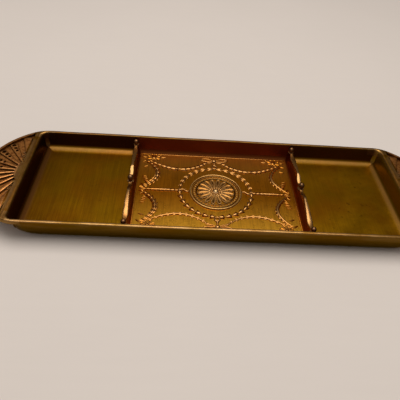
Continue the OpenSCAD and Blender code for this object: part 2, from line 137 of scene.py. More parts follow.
class Finishes(bpy.types.PropertyGroup):
    """Colours of the finishes."""
    gilt: tone("Gilt", "Ground of the gilt casting", (0.222, 0.103, 0.0015))
    amber: tone("Amber", "Redder places of the gilt", (0.255, 0.096, 0.002))
    # Rubbed patches of the floor, laid stronger at the front and right as painted highlight.
    bright: tone("Bright floor", "Rubbed places of the floor", (0.36, 0.175, 0.004))
    # Painted light on the right end wall of the well.
    lit: tone("Bright end", "Rubbed right end wall of the well", (0.40, 0.22, 0.008))
    soiled: tone("Soiled rim", "Dull back rim", (0.085, 0.048, 0.025))
    plate: tone("Plate", "Warm ground of the relief plate", (0.49, 0.162, 0.006))
    shaded: tone("Shaded plate", "Duller places of the relief plate", (0.40, 0.138, 0.005))
    # Painted reflection on the front of the relief plate.
    front: tone("Bright plate", "Front of the relief plate", (0.66, 0.32, 0.026))
    # Painted reflection tone on the back strip of the relief plate.
    rear: tone("Dull plate", "Back of the relief plate", (0.26, 0.15, 0.04))
    # Painted shade on the medallion's petals; the rings and grooves below are its painted highlight.
    petals: tone("Petals", "Stained petals of the medallion", (0.15, 0.075, 0.012))
    rings: tone("Rings", "Turned rings of the medallion", (0.58, 0.33, 0.06))
    grooves: tone("Grooves", "Grooves between the turned rings", (0.09, 0.040, 0.008))
    copper: tone("Copper", "Ground of the reeds on the handles", (0.52, 0.210, 0.060))
    # Also laid as painted highlight on the well's fillets and on the inner corners of the rim.
    worn: tone("Worn gilt", "Rubbed edges", (0.66, 0.40, 0.18))
    crest: tone("Rubbed crest", "Rubbed crests of the dividers", (0.60, 0.43, 0.22))
    rubbed: tone("Rubbed relief", "Rubbed tops of the relief", (0.52, 0.36, 0.17))
    patina: tone("Patina", "Dark lacquer in the recesses", (0.050, 0.013, 0.002))
    # Also painted shade on the floor near the end walls, and, dimmed, at the outer foot.
    olive: tone("Olive", "Dull lacquer on the outside", (0.060, 0.030, 0.002))
    # Also dimmed as painted shade on the fillets of the middle compartment.
    lacquer: tone("Lacquer", "Dark red lacquer round the relief plate", (0.180, 0.026, 0.006))
    red: tone("Red walls", "Lacquered walls of the middle compartment", (0.205, 0.042, 0.010))
    # Painted shade on the balls of the dividers.
    balls: tone("Balls", "Dull balls of the dividers", (0.11, 0.065, 0.042))
    felt: tone("Felt", "Felt of the pads", (0.03, 0.055, 0.035))
    table: tone("Table", "Pale table under the tray", (0.71, 0.64, 0.59))


# Points nearer to each other than this, in millimetres, become one point.
SAME_PLACE = 0.001


def deselect():
    """Nothing is selected, and no piece is in edit mode."""
    if bpy.context.object and bpy.context.object.mode != "OBJECT":
        bpy.ops.object.mode_set(mode="OBJECT")
    bpy.ops.object.select_all(action="DESELECT")


def only(*pieces):
    """Selects these pieces alone, the first one active."""
    deselect()
    for piece in pieces:
        piece.select_set(True)
    bpy.context.view_layer.objects.active = pieces[0]
    return pieces[0]


def primitive(kind, name, **settings):
    """Adds a primitive at its size and place, and puts its place into the mesh."""
    deselect()
    getattr(bpy.ops.mesh, f"primitive_{kind}_add")(**settings)
    piece = bpy.context.object
    piece.name = piece.data.name = name
    return settle(piece)


def sphere(name, sides, rings, lying=False):
    """A ball of radius 1 at the origin, its poles on the vertical, or on X where it lies."""
    return primitive("uv_sphere", name, segments=sides, ring_count=rings, radius=1.0,
                     rotation=(0, pi / 2 if lying else 0, 0))


def torus(name, thick, steps, sides, wide=1.0, **settings):
    """A ring at the origin."""
    return primitive("torus", name, major_radius=wide, minor_radius=thick, major_segments=steps,
                     minor_segments=sides, **settings)


def drum(name, sides, radius, depth, place):
    """An upright cylinder about a place."""
    return primitive("cylinder", name, vertices=sides, radius=radius, depth=depth, location=place)


def settle(piece):
    """Puts the place, turn and size of a piece into its mesh."""
    only(piece)
    bpy.ops.object.transform_apply(location=True, rotation=True, scale=True)
    return piece


def modified(piece, kind, **settings):
    """Adds a modifier and applies it."""
    only(piece)
    change = piece.modifiers.new(kind.lower(), kind)
    for key, value in settings.items():
        setattr(change, key, value)
    bpy.ops.object.modifier_apply(modifier=change.name)
    return piece


def moved(piece, rule):
    """Moves every point of a piece by a rule."""
    for point in piece.data.vertices:
        point.co = rule(point.co)
    piece.data.update()
    return piece


def editing(piece, test, kind="FACE"):
    """Opens a piece in edit mode with the faces, edges or points selected that pass the test."""
    only(piece)
    bpy.ops.object.mode_set(mode="EDIT")
    bpy.ops.mesh.select_mode(type=kind)
    bpy.ops.mesh.select_all(action="DESELECT")
    mesh = bmesh.from_edit_mesh(piece.data)
    mesh.normal_update()
    parts = {"FACE": mesh.faces, "EDGE": mesh.edges, "VERT": mesh.verts}[kind]
    for part in parts:
        part.select_set(bool(test(part)))
    mesh.select_flush_mode()
    bmesh.update_edit_mesh(piece.data)


def closed():
    """Leaves edit mode with the normals of the piece pointing outwards."""
    bpy.ops.mesh.select_mode(type="VERT")
    bpy.ops.mesh.select_all(action="SELECT")
    bpy.ops.mesh.normals_make_consistent(inside=False)
    bpy.ops.object.mode_set(mode="OBJECT")


def bar(name, size, place, edge, segments):
    """A block with rounded edges about a place."""
    block = primitive("cube", name, size=1.0, scale=size, location=place)
    return modified(block, "BEVEL", width=edge, segments=segments)


def joined(pieces, name):
    """Joins pieces into one."""
    piece = only(*pieces)
    if len(pieces) > 1:
        bpy.ops.object.join()
    piece.name = piece.data.name = name
    return settle(piece)


def copied(piece, place):
    """A copy with its own mesh, at a place."""
    new = piece.copy()
    new.data = piece.data.copy()
    bpy.context.scene.collection.objects.link(new)
    new.matrix_world = place
    return new


def placed(x, y, z, turn=0.0, size=(1.0, 1.0, 1.0)):
    """A place on the plate: position, turn about the vertical, and size along, across and up."""
    return (Matrix.Translation((x, y, z)) @ Matrix.Rotation(turn, 4, "Z")
            @ Matrix.Diagonal((*size, 1.0)))


def around(pattern, count, radius, z, size=(1.0, 1.0, 1.0), first=0.0):
    """Copies of a pattern at even steps round the vertical."""
    turns = [2 * pi * (i + first) / count for i in range(count)]
    return [copied(pattern, placed(radius * cos(t), radius * sin(t), z, t, size)) for t in turns]


def remove(*pieces):
    """Deletes patterns that are no longer used."""
    only(*pieces)
    bpy.ops.object.delete()


def boolean(piece, tool, operation, solver="MANIFOLD"):
    """Cuts or unites a piece with a tool, which is used up."""
    modified(piece, "BOOLEAN", object=tool, operation=operation, solver=solver)
    remove(tool)
    return piece


def lofted(name, rings):
    """Extrudes a ring of points through all the rings, and closes both ends."""
    piece = primitive("circle", name, vertices=len(rings[0]), fill_type="NOTHING")
    for point, where in zip(piece.data.vertices, rings[0]):
        point.co = where
    bpy.ops.object.mode_set(mode="EDIT")
    bpy.ops.mesh.select_mode(type="EDGE")
    bpy.ops.mesh.select_all(action="SELECT")
    bpy.ops.mesh.edge_face_add()
    bpy.ops.mesh.select_mode(type="EDGE")
    for before, ring in zip(rings, rings[1:]):
        bpy.ops.mesh.extrude_edges_move()
        mesh = bmesh.from_edit_mesh(piece.data)
        spots = {tuple(round(c, 3) for c in p): i for i, p in enumerate(before)}
        for point in mesh.verts:
            if point.select:
                point.co = ring[spots[tuple(round(c, 3) for c in point.co)]]
        bmesh.update_edit_mesh(piece.data)
    bpy.ops.mesh.edge_face_add()
    closed()
    return piece


def spun(name, profile, steps):
    """Spins a profile of radius and height about the vertical, and closes the pole."""
    piece = primitive("circle", name, vertices=len(profile), fill_type="NOTHING")
    for point, (r, z) in zip(piece.data.vertices, profile):
        point.co = (r, 0.0, z)
    first, last = 0, len(profile) - 1
    editing(piece, lambda e: {v.index for v in e.verts} == {first, last}, "EDGE")
    bpy.ops.mesh.delete(type="EDGE")
    bpy.ops.mesh.select_all(action="SELECT")
    bpy.ops.mesh.spin(steps=steps, angle=2 * pi, center=(0, 0, 0), axis=(0, 0, 1), use_auto_merge=True)
    bpy.ops.mesh.select_all(action="SELECT")
    bpy.ops.mesh.remove_doubles(threshold=SAME_PLACE)
    bpy.ops.mesh.select_all(action="DESELECT")
    bpy.ops.mesh.select_non_manifold(extend=False)
    bpy.ops.mesh.edge_face_add()
    closed()
    return piece


def outward(piece):
    """Turns all the normals of a piece outwards."""
    editing(piece, lambda point: True, "VERT")
    closed()
    return piece


def strand(name, points, radii, flat=1.0):
    """A round cord through points with a radius at each, made a mesh, and made flatter or higher."""
    deselect()
    bpy.ops.curve.primitive_nurbs_path_add()
    piece = bpy.context.object
    path = piece.data
    path.splines.clear()
    line = path.splines.new("NURBS")
    line.points.add(len(points) - 1)
    for knot, where, radius in zip(line.points, points, radii):
        knot.co = (*where, 1.0)
        knot.radius = radius
    line.order_u = 3
    line.use_endpoint_u = True
    line.resolution_u = 4
    path.bevel_depth = 1.0
    path.bevel_resolution = 2
    path.use_fill_caps = True
    only(piece)
    bpy.ops.object.convert(target="MESH")
    piece = bpy.context.object
    piece.name = piece.data.name = name
    low = points[0][2]
    moved(piece, lambda p: Vector((p.x, p.y, low + (p.z - low) * flat)))
    editing(piece, lambda point: True, "VERT")
    bpy.ops.mesh.remove_doubles(threshold=SAME_PLACE)
    closed()
    return piece


def finished(piece, name, nodes, material, angle=35.0):
    """Brings a piece from millimetres to its true size, with its finish and its place in the frame.

    Shading is smooth but for edges where the surface turns by more than the angle, in degrees.
    """
    piece.scale = (MM, MM, MM)
    settle(piece)
    bpy.ops.object.shade_smooth_by_angle(angle=radians(angle))
    piece.name = piece.data.name = name
    piece.data.materials.clear()
    piece.data.materials.append(material)
    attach(piece, BODY)
    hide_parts(*nodes)
    return piece


def arithmetic(operation, swapped=False):
    """A method that joins a socket and another value in a Math node."""
    def method(self, other):
        first, second = (other, self) if swapped else (self, other)
        return self.nodes.add("Math", {"operation": operation}, {0: first, 1: second})
    return method


class Wire:
    """A socket of a node. Arithmetic on it adds Math nodes."""
    __add__, __radd__ = arithmetic("ADD"), arithmetic("ADD", True)
    __sub__, __rsub__ = arithmetic("SUBTRACT"), arithmetic("SUBTRACT", True)
    __mul__, __rmul__ = arithmetic("MULTIPLY"), arithmetic("MULTIPLY", True)
    __gt__, __lt__ = arithmetic("GREATER_THAN"), arithmetic("LESS_THAN")

    def __init__(self, nodes, socket):
        self.nodes = nodes
        self.socket = socket

    def held(self):
        """The same value, kept between 0 and 1."""
        return self.nodes.add("Math", {"operation": "ADD", "use_clamp": True}, {0: self, 1: 0.0})


# Sockets of a Mix node that holds colours.
MIX_SHARE, MIX_FIRST, MIX_SECOND, MIX_RESULT = 0, 6, 7, 2


class Nodes:
    """A tree of shader nodes."""

    def __init__(self, tree):
        self.tree = tree

    def add(self, kind, settings=None, sockets=None, out=0):
        """Adds a node of a type with its settings, then the values or links of its sockets."""
        node = self.tree.nodes.new(f"ShaderNode{kind}")
        for key, value in (settings or {}).items():
            if key == "stops":
                ramp = node.color_ramp.elements
                while len(ramp) < len(value):
                    ramp.new(0.5)
                for stop, (place, shade) in zip(ramp, value):
                    stop.position = place
                    stop.color = (*(shade if isinstance(shade, tuple) else (shade,) * 3), 1.0)
            else:
                setattr(node, key, value)
        for key, value in (sockets or {}).items():
            self.join(value, node.inputs[key])
        return Wire(self, node.outputs[out])

    def join(self, value, socket):
        """Links a wire to a socket, or sets the socket's own value. A colour gets its alpha."""
        if isinstance(value, Wire):
            self.tree.links.new(value.socket, socket)
        else:
            socket.default_value = (*value, 1.0) if socket.type == "RGBA" else value

    def mix(self, share, a, b):
        """A colour between two."""
        return self.add("Mix", {"data_type": "RGBA"},
                        {MIX_SHARE: share, MIX_FIRST: a, MIX_SECOND: b}, MIX_RESULT)

    def ramp(self, value, *stops):
        """A value led through stops."""
        return self.add("ValToRGB", {"stops": stops}, {0: value})

    def rise(self, value, low, high):
        """From 0 at a low value to 1 at a high one."""
        return self.ramp(value, (low, 0.0), (high, 1.0))

    def fall(self, value, low, high):
        """From 1 at a low value to 0 at a high one."""
        return self.ramp(value, (low, 1.0), (high, 0.0))

    def size(self, value):
        """A value without its sign."""
        return self.add("Math", {"operation": "ABSOLUTE"}, {0: value})

    def split(self, vector):
        """The three parts of a vector."""
        first = self.add("SeparateXYZ", None, {0: vector})
        return [Wire(self, socket) for socket in first.socket.node.outputs]


class Finish(Nodes):
    """A material and its nodes."""

    def __init__(self, name):
        self.material = bpy.data.materials.new(name)
        self.material.use_nodes = True
        super().__init__(self.material.node_tree)
        self.shader = self.tree.nodes["Principled BSDF"]
        self.colour = None

    def set(self, **sockets):
        """Values or links for the shader's sockets, named with underscores."""
        for key, value in sockets.items():
            self.join(value, self.shader.inputs[key.replace("_", " ")])
        return self.material

    def paint(self, share, colour):
        """Lays a colour over what the finish has so far."""
        self.colour = self.mix(share, self.colour, colour)

    def spots(self):
        """Object coordinates, which are metres in the frame."""
        return self.add("TexCoord", out="Object")

    def facing(self):
        """The three parts of the surface's normal."""
        return self.split(self.add("NewGeometry", out="Normal"))

    def bump(self, strength, distance, height):
        """A normal that follows a height."""
        return self.add("Bump", None, {"Strength": strength, "Distance": distance, "Height": height})

    def grain(self, scale, detail=2.0, stretch=(1.0, 1.0, 1.0), rough=0.5, shift=(0.0, 0.0, 0.0)):
        """Noise of a scale per metre, stretched along the axes."""
        where = self.add("Mapping", None, {"Vector": self.spots(), "Scale": stretch, "Location": shift})
        return self.add("TexNoise", None, {"Vector": where, "Scale": scale, "Detail": detail,
                                           "Roughness": rough})


def dimmed(colour, share):
    """A colour made darker, or lighter by a share above 1."""
    return tuple(part * share for part in colour)


def gilt(name, ground, second, worn, patina, rough, grime, reach, rub, lift=None, dress=None):
    """Aged gilt metal: clouded ground, dark lacquer in the recesses, rubbed edges.

    The lacquer's share is grime, and the width of a recess is reach, in millimetres. Above the height
    lift, crowns are rubbed too. A dress paints what one piece alone has, painted light and shade among
    it, and returns its edges, its fine relief, the tone and share of its lacquer and painted shade, and
    how much duller it is.
    """
    f = Finish(name)
    up = f.facing()[2]
    high = f.split(f.spots())[2] * PER_MM
    cloud = f.rise(f.grain(48.0, 4.0), 0.40, 0.62)
    mottle = f.grain(420.0, 3.0, rough=0.6)
    uneven = mottle - 0.5
    open_sky = f.add("AmbientOcclusion", {"samples": 8}, {"Distance": reach * MM}, "AO")
    recess = f.fall(open_sky + uneven * 0.2, 0.25, 0.85)
    edge = f.rise(f.add("NewGeometry", out="Pointiness") + uneven * 0.03, 0.515, 0.58)
    if lift is not None:
        edge = (edge * 0.4 + f.rise(high - lift + uneven * 0.3, 0.2, 1.0) * 0.8).held()
    f.colour = f.mix(cloud, ground, second)
    f.paint((mottle * 0.6).held(), f.mix(0.4, f.colour, patina))
    upright = f.fall(f.size(up), 0.25, 0.80)
    relief, shade, share, dull = mottle, patina, 0.0, 0.0
    if dress:
        edge, relief, shade, share, dull = dress(f, up, high, upright, edge, relief, shade)
    # The dress's share lays its shade tone over upright faces: dark lacquer, and on the casting painted shade
    # too.
    dark = recess * grime
    dark = (dark + (1.0 - dark) * share).held()
    f.paint(dark, shade)
    f.paint(edge * rub, worn)
    roughness = rough - 0.06 + mottle * 0.12 + recess * 0.10 - edge * 0.04 + dull
    return f.set(Base_Color=f.colour, Roughness=roughness.held(), Metallic=1.0,
                 Normal=f.bump(0.2, 0.0001, relief), Specular_Tint=(1.0, 0.82, 0.5),
                 Coat_Weight=(edge * 0.08).held(), Coat_Roughness=0.25)


# Places in millimetres are scaled by these to fit a ramp, along the tray and across it.
ALONG, ACROSS = 0.01, 0.0125


def casting_dress(s, fan_sizes, c):
    """What the casting has beside the gilt: brushed floor, copper reeds, rims, red middle, and painted light
    and shade on its walls, fillets, floor and foot.
    """
    def dress(f, up, high, upright, edge, relief, shade):
        x, y, _ = (part * PER_MM for part in f.split(f.spots()))
        forward = y * -ACROSS
        front, near = f.rise(forward, 0.0, 0.4), f.rise(forward, 0.20, 0.42)
        right = f.rise(x * ALONG, 0.3, 0.9)
        x, y = f.size(x), f.size(y)
        across, aside, _ = (f.size(part) for part in f.facing())
        drawn_in = (s.rim_z - high) * 0.19
        inside = ((y + drawn_in < s.half_width - s.wall / 2) * (x + drawn_in < s.well_half + 1.5)
                  * (high > s.floor_z - 0.3))
        low = inside * (high < s.floor_z + 2.5)
        red = (x < DIVIDER_X) * inside * (high < s.rim_z - 0.5)

        level = f.rise(up, 0.80, 0.97) * (high < s.floor_z + 0.8)
        brushed = f.grain(26.0, 3.0, (60.0, 1.6, 1.6), 0.65)
        lines = f.rise(brushed, 0.36, 0.62) * level
        patches = f.grain(46.0, 4.0, rough=0.6, shift=(0.31, 0.12, 0.0))
        rubbed = f.rise(patches, 0.40, 0.62) * level
        # Mottled rubbed patches on the floor, laid stronger towards the front and the right as painted
        # highlight.
        strong = (0.10 + front * 0.40 + right * (0.45 + near * 0.4)).held()
        f.paint(rubbed * strong, c.bright)
        # Floor painted darker towards the end walls, less at the right end: painted shade.
        ends = f.ramp((x - (s.well_half - 24.0)) * 0.05, (0.1, 0.0), (1.0, 0.42)) * level
        f.paint(ends * (1.0 - right * 0.6), c.olive)
        strong = 0.42 - right * 0.30 + near * 0.48
        f.paint(lines * strong, f.mix(0.70, f.colour, c.patina))
        pits = f.rise(f.grain(330.0), 0.63, 0.70) * f.rise(f.grain(40.0), 0.48, 0.60)
        f.paint(pits * level * (0.2 + right * 0.5), c.patina)

        # A paler tint and more roughness on the fillets at the foot of the well's walls, where the lamp's
        # highlight falls: painted highlight.
        fillet_highlight = f.ramp(up, (0.60, 0.0), (0.80, 1.0), (0.96, 1.0), (0.995, 0.0)) * low
        f.paint(fillet_highlight * 0.14, c.worn)
        # Fillets of the end walls painted darker, less at the right end: painted shade.
        hollow = f.ramp(across, (0.0, 0.0), (0.26, 0.85), (0.72, 0.85), (0.92, 0.0)) * low
        f.paint(hollow * (1.0 - right * 0.40), dimmed(c.patina, 0.8))
        # The right end wall of the well painted lighter: painted light.
        glow = upright * inside * right * f.rise(across, 0.45, 0.80)
        f.paint(glow, c.lit)
        # Inner corners of the rim at the well's ends painted paler: painted highlight.
        corner = (x > s.well_half - 7.0) * (x < s.well_half + 3.0) * (y > s.half_width - 7.0) * (high > 9.0)
        f.paint(corner * 0.25, c.worn)

        top = (high > s.rim_z - fan_sizes.depth - 0.3) * f.rise(up, 0.3, 0.7)
        handle = top * (x > s.well_half)
        band_end = s.well_half + fan_sizes.band + 1.2
        f.paint(top * (x > band_end) * 0.85, c.copper)
        combed = f.ramp(brushed, (0.36, 0.15), (0.60, 0.75))
        f.paint(handle * (x < band_end) * combed, f.mix(0.92, f.colour, c.patina))
        specks = f.rise(f.grain(520.0, 4.0, rough=0.7), 0.50, 0.58) * top * (x > s.well_half + 3.0)
        f.paint(specks * (0.62 - front * 0.3), dimmed(c.lacquer, 0.7))
        f.paint(handle * right * 0.12, c.patina)

        scuffs = f.rise(f.grain(80.0, 5.0, (0.3, 1.0, 3.0), 0.7), 0.46, 0.66) * upright
        f.paint(scuffs * (1.0 - inside) * 0.30, c.worn)
        rim = top * (y > s.half_width - s.wall - 0.3) * (x < s.well_half)
        patchy = f.ramp(f.grain(70.0, 4.0, (1.6, 0.2, 0.2), 0.7), (0.36, 0.25), (0.62, 1.0))
        f.paint(rim * (0.8 - front * 0.35) * patchy, f.mix(front, c.soiled, c.worn))

        # Shade tone: olive outside, the red of the middle compartment's walls, and a dim red on its fillets
        # as painted shade.
        shade = f.mix(red, f.mix(inside, c.olive, shade), f.mix(upright, dimmed(c.lacquer, 0.18), c.red))
        # Outer walls painted darker towards the foot: painted shade.
        painted_foot_shade = f.fall((high - s.under_z) * 0.1, 0.22, 1.0) * (1.0 - inside)
        painted_foot_shade = painted_foot_shade * f.ramp(f.size(up), (0.55, 1.0), (0.95, 0.2))
        shade = f.mix(painted_foot_shade, shade, dimmed(c.olive, 0.05))
        # Upright walls take a share of the shade tone: dark lacquer and painted shade, heavier inside the
        # well; less at the right end and its corners, as painted light.
        share = upright * (0.55 + inside * (0.34 - right * 0.25)) * (1.0 - glow)
        share = share * (1.0 - f.ramp(across * aside, (0.12, 0.0), (0.40, 0.75)) * inside * right)
        share = share + (1.0 - share) * (red + painted_foot_shade).held() * 0.92
        edge = edge * (1.0 - level) * (high > s.under_z + 0.4)
        return edge, relief + brushed * level * 0.8, shade, share, fillet_highlight * 0.15
    return dress


def plate_dress(r, c):
    """What the relief plate has beside the gilt: brush lines, and painted light and shade: a brighter front,
    a duller back, the medallion's tones.
    """
    def dress(f, up, high, upright, edge, relief, shade):
        x, y, _ = f.split(f.spots())
        x, y = x * (ALONG * PER_MM), y * (ACROSS * PER_MM) + 0.5
        level = f.rise(up, 0.90, 0.99) * (high < r.top_z + 0.12)
        brushed = f.grain(26.0, 3.0, (60.0, 2.4, 1.6), 0.65)
        lines = f.rise(brushed, 0.40, 0.66) * level
        # Front of the plate painted brighter: painted reflection.
        f.paint(f.ramp(y, (0.16, 0.85), (0.45, 0.0)) * level, c.front)
        # Brush lines, and the back half painted darker as painted shade.
        f.paint(lines * 0.30 + f.ramp(y, (0.28, 0.0), (0.5, 0.14)) * level, c.patina)
        # The back strip painted a duller olive in place of the red wall's reflection: painted reflection,
        # also made rougher.
        rear = f.rise(y, 0.62, 0.88) * level
        f.paint(rear * 0.30, c.rear)
        # The square of the distance from the middle, made to fit a ramp that ends beyond the medallion.
        away = (x * x + (y - 0.5) * (y - 0.5) * (ALONG / ACROSS) ** 2) * 40.0
        petals = f.ramp(away, (0.036, 0.0), (0.052, 1.0), (0.433, 1.0), (0.467, 0.0))
        rings = f.ramp(away, (0.433, 0.0), (0.467, 1.0), (0.864, 1.0), (0.900, 0.0))
        # Petals painted darker as painted shade; turned rings painted paler, with lighter grooves, as painted
        # highlight.
        f.paint(petals * 0.34, c.petals)
        f.paint(rings * 0.40, c.rings)
        shade = f.mix(rings * 0.5, shade, c.grooves)
        edge = edge * (1.0 - f.ramp(f.size(x), (0.28, 0.0), (0.40, 0.60)))
        dull = rear * 0.08 + petals * 0.10 + rings * 0.05
        return edge, relief + brushed * level * 0.8, shade, 0.0, dull
    return dress


def divider_dress(d, c):
    """What the dividers have beside the gilt: lacquered sides, and balls painted dark as painted shade
    between the rubbed crests.
    """
    def dress(f, up, high, upright, edge, relief, shade):
        y = f.size(f.split(f.spots())[1] * PER_MM)
        balls = ((y > d.ball_y - d.ball - 0.3) + (y < d.finial + 0.3)).held() * (high > d.crest)
        # Balls painted dark: painted shade.
        f.paint(balls * 0.75, c.balls)
        return edge * (1.0 - balls * 0.9), relief, shade, upright * (1.0 - balls) * 0.92, 0.0
    return dress


def felt_finish(colour):
    """Short matted wool."""
    f = Finish("felt")
    fibres = f.grain(2200.0, 4.0, (1.0, 1.6, 1.0), 0.7)
    clumps = f.grain(420.0, 3.0)
    shade = f.mix((clumps * 0.8).held(), dimmed(colour, 0.6), dimmed(colour, 1.5))
    return f.set(Base_Color=shade, Roughness=(0.85 + fibres * 0.15).held(),
                 Normal=f.bump(0.8, 0.0003, fibres + clumps * 0.6))


def brass_finish(ground, patina):
    """Plain turned brass of the screws."""
    f = Finish("screw_brass")
    scratches = f.grain(900.0, 3.0, (1.0, 6.0, 1.0))
    stain = f.ramp(f.grain(500.0, 3.0), (0.45, 0.0), (0.75, 0.7))
    return f.set(Base_Color=f.mix(stain, ground, patina), Roughness=(0.28 + scratches * 0.2).held(),
                 Metallic=1.0, Normal=f.bump(0.3, 0.0001, scratches))


def table_finish(colour):
    """Pale painted table with faint brush lines."""
    f = Finish("table")
    lines = f.grain(30.0, 3.0, (1.0, 9.0, 1.0), 0.6)
    shade = f.mix((f.grain(9.0, 3.0) * 0.6 + lines * 0.4).held(), colour, dimmed(colour, 0.93))
    return f.set(Base_Color=shade, Roughness=0.7, Specular_IOR_Level=0.25)


def quarter(straight, turn, end):
    """One quarter of a ring, from the middle of a long side round the corner to the middle of an end."""
    return straight[:-1] + turn[:-1] + end


def ring_of(points, z):
    """A whole ring from the points of its quarter, or from points that carry their own height."""
    first = [Vector((p[0], p[1], p[2] if len(p) > 2 else z)) for p in points]
    signs = ((1, 1, False), (1, -1, True), (-1, -1, False), (-1, 1, True))
    ring = []
    for sx, sy, back in signs:
        run = first[::-1] if back else first
        ring += [Vector((sx * p.x, sy * p.y, p.z)) for p in run][:-1]
    return ring


# Steps of a quarter ring along its long side, round its corner and along its end.
LONG, TURN, END = 36, 9, 16


def rounded_quarter(a, b, r):
    """Quarter of a rectangle with round corners."""
    r = max(min(r, b * 0.8), 0.4)
    straight = [(t / LONG * (a - r), b) for t in range(LONG + 1)]
    turn = [(a - r + r * sin(t / TURN * pi / 2), b - r + r * cos(t / TURN * pi / 2))
            for t in range(TURN + 1)]
    end = [(a, (b - r) * (1 - t / END)) for t in range(END + 1)]
    return quarter(straight, turn, end)


def arched_quarter(s, inset):
    """Quarter of the plan over the handles, drawn in by an inset."""
    arc_x = s.half_length - s.arc
    blend_y = s.half_width - s.blend
    blend_x = arc_x + sqrt((s.arc - s.blend) ** 2 - blend_y ** 2)
    meet = atan2(blend_x - arc_x, blend_y)
    r, big = s.blend - inset, s.arc - inset
    straight = [(t / LONG * blend_x, s.half_width - inset) for t in range(LONG + 1)]
    turn = [(blend_x + r * sin(t / TURN * meet), blend_y + r * cos(t / TURN * meet))
            for t in range(TURN + 1)]
    span = pi / 2 - meet
    end = [(arc_x + big * sin(meet + t / END * span), big * cos(meet + t / END * span))
           for t in range(END + 1)]
    return quarter(straight, turn, end)


def between(a, b, share):
    """Points between two quarters."""
    return [(p[0] + (q[0] - p[0]) * share, p[1] + (q[1] - p[1]) * share) for p, q in zip(a, b)]


# Rings of the flat floor, in from the edge of its dish.
FLOOR_INSETS = (20.0, 12.0, 5.0, 1.6)
# Where the dish of the floor's edge gives way to the tighter fillet, and the steps of each.
DISH_TURN, DISH_STEPS = radians(70), 6
# Heights of the rings up the walls of the well.
WELL_HEIGHTS = (8.0, 9.8, 11.2)
# How far the foot of the rounded lip stands in, for each millimetre of its radius.
LIP_DRAW, LIP_STEPS = 0.15, 4
# Radius of the outer edge of the rim, and the rings across the rim.
BROW, BROW_STEPS = 0.7, 4
BROW_SHARES = (0.0, 0.25, 0.5, 0.75)
# Rings under the rim: inset of the handle's edge, height at the long walls, and height above the
# underside of the handle.
HANDLE_DROPS = ((0.0, 11.8, 0.7), (0.2, 11.3, 0.2), (0.7, 10.9, 0.0), (None, 10.4, 0.0))
# Rings down the outer walls: height, and how much rounder their corners are. The bottom edge follows.
WALL_HEIGHTS = ((9.4, 0.7), (8.2, 1.5))
BOTTOM_ROUNDER, BOTTOM_STEPS = (2.4, 1.1), 9
UNDER_INSET, UNDER_ROUNDER = 6.0, 12.3


def tub_rings(s):
    """The rings of the casting, from the middle of its floor over the rim and down to its underside."""
    tilt, well_tilt = atan(s.lean), atan(s.well_lean)
    squeeze = (1 - sin(tilt)) / cos(tilt)
    rings = []

    def ring(points, z=0.0):
        rings.append(ring_of(points, z))

    def well(offset):
        return rounded_quarter(s.well_half - offset, s.half_width - s.wall - offset, s.well_round - offset)

    def outer(offset, rounder=0.0):
        return rounded_quarter(s.well_half + s.end_wall - offset, s.half_width - offset,
                               s.outer_round - offset + rounder)

    def lip(share):
        angle = share * pi / 2
        runs = []
        for r in (s.long_lip, s.end_lip):
            offset = LIP_DRAW * r * (1 - share) - r * (1 - cos(angle))
            runs.append([Vector((x, y, s.rim_z - r * (1 - sin(angle)))) for x, y in well(offset)])
        round_end = [min(max((i - LONG) / TURN, 0.0), 1.0) for i in range(len(runs[0]))]
        return [tuple(p.lerp(q, end)) for p, q, end in zip(*runs, round_end)]

    cut, high_cut = cos(DISH_TURN), sin(DISH_TURN)
    wall_z = s.floor_z + s.dish * (1 - high_cut) + s.fillet * (high_cut - sin(well_tilt))
    fillet_in = (s.rim_z - wall_z) * s.well_lean + (s.dish - s.fillet) * cut + s.fillet * cos(well_tilt)
    for extra in FLOOR_INSETS:
        ring(rounded_quarter(s.well_half - fillet_in - extra, s.half_width - s.wall - fillet_in - extra,
                             0.6 + extra * 0.45), s.floor_z)
    for step in range(2 * DISH_STEPS + 1):
        if step < DISH_STEPS:
            angle, r = pi / 2 - step / DISH_STEPS * (pi / 2 - DISH_TURN), s.dish
        else:
            angle, r = DISH_TURN - (step - DISH_STEPS) / DISH_STEPS * (DISH_TURN - well_tilt), s.fillet
        across, up = (s.dish - r) * cut, (s.dish - r) * (1 - high_cut)
        ring(well(fillet_in - across - r * cos(angle)), s.floor_z + up + r * (1 - sin(angle)))
    for z in WELL_HEIGHTS:
        ring(well((s.rim_z - z) * s.well_lean), z)
    for step in range(LIP_STEPS):
        ring(lip(step / LIP_STEPS))
    for share in BROW_SHARES:
        ring(between(lip(1.0), arched_quarter(s, BROW), share), s.rim_z)
    for step in range(BROW_STEPS + 1):
        angle = step / BROW_STEPS * pi / 2
        ring(arched_quarter(s, BROW * (1 - sin(angle))), s.rim_z - BROW * (1 - cos(angle)))
    for inset, wall_z, above in HANDLE_DROPS:
        edge_z = s.rim_z - s.handle + above
        wall = outer((s.rim_z - wall_z) * s.lean)
        plate = outer((s.rim_z - edge_z) * s.lean) if inset is None else arched_quarter(s, inset)
        ring([(*p, wall_z) if i <= LONG else (*q, edge_z) for i, (p, q) in enumerate(zip(wall, plate))])
    for z, rounder in WALL_HEIGHTS:
        ring(outer((s.rim_z - z) * s.lean, rounder), z)
    round_in = (s.rim_z - s.under_z) * s.lean + s.bottom_round * squeeze
    round_z = s.under_z + s.bottom_round
    for step in range(BOTTOM_STEPS + 1):
        angle = tilt + step / BOTTOM_STEPS * (pi / 2 - tilt)
        ring(outer(round_in - s.bottom_round * cos(angle), BOTTOM_ROUNDER[0] + step * BOTTOM_ROUNDER[1]),
             round_z - s.bottom_round * sin(angle))
    ring(outer(round_in + UNDER_INSET, UNDER_ROUNDER), s.under_z)
    return rings


# The unevenness of the casting is the same every time.
WOBBLE_SEED = 11


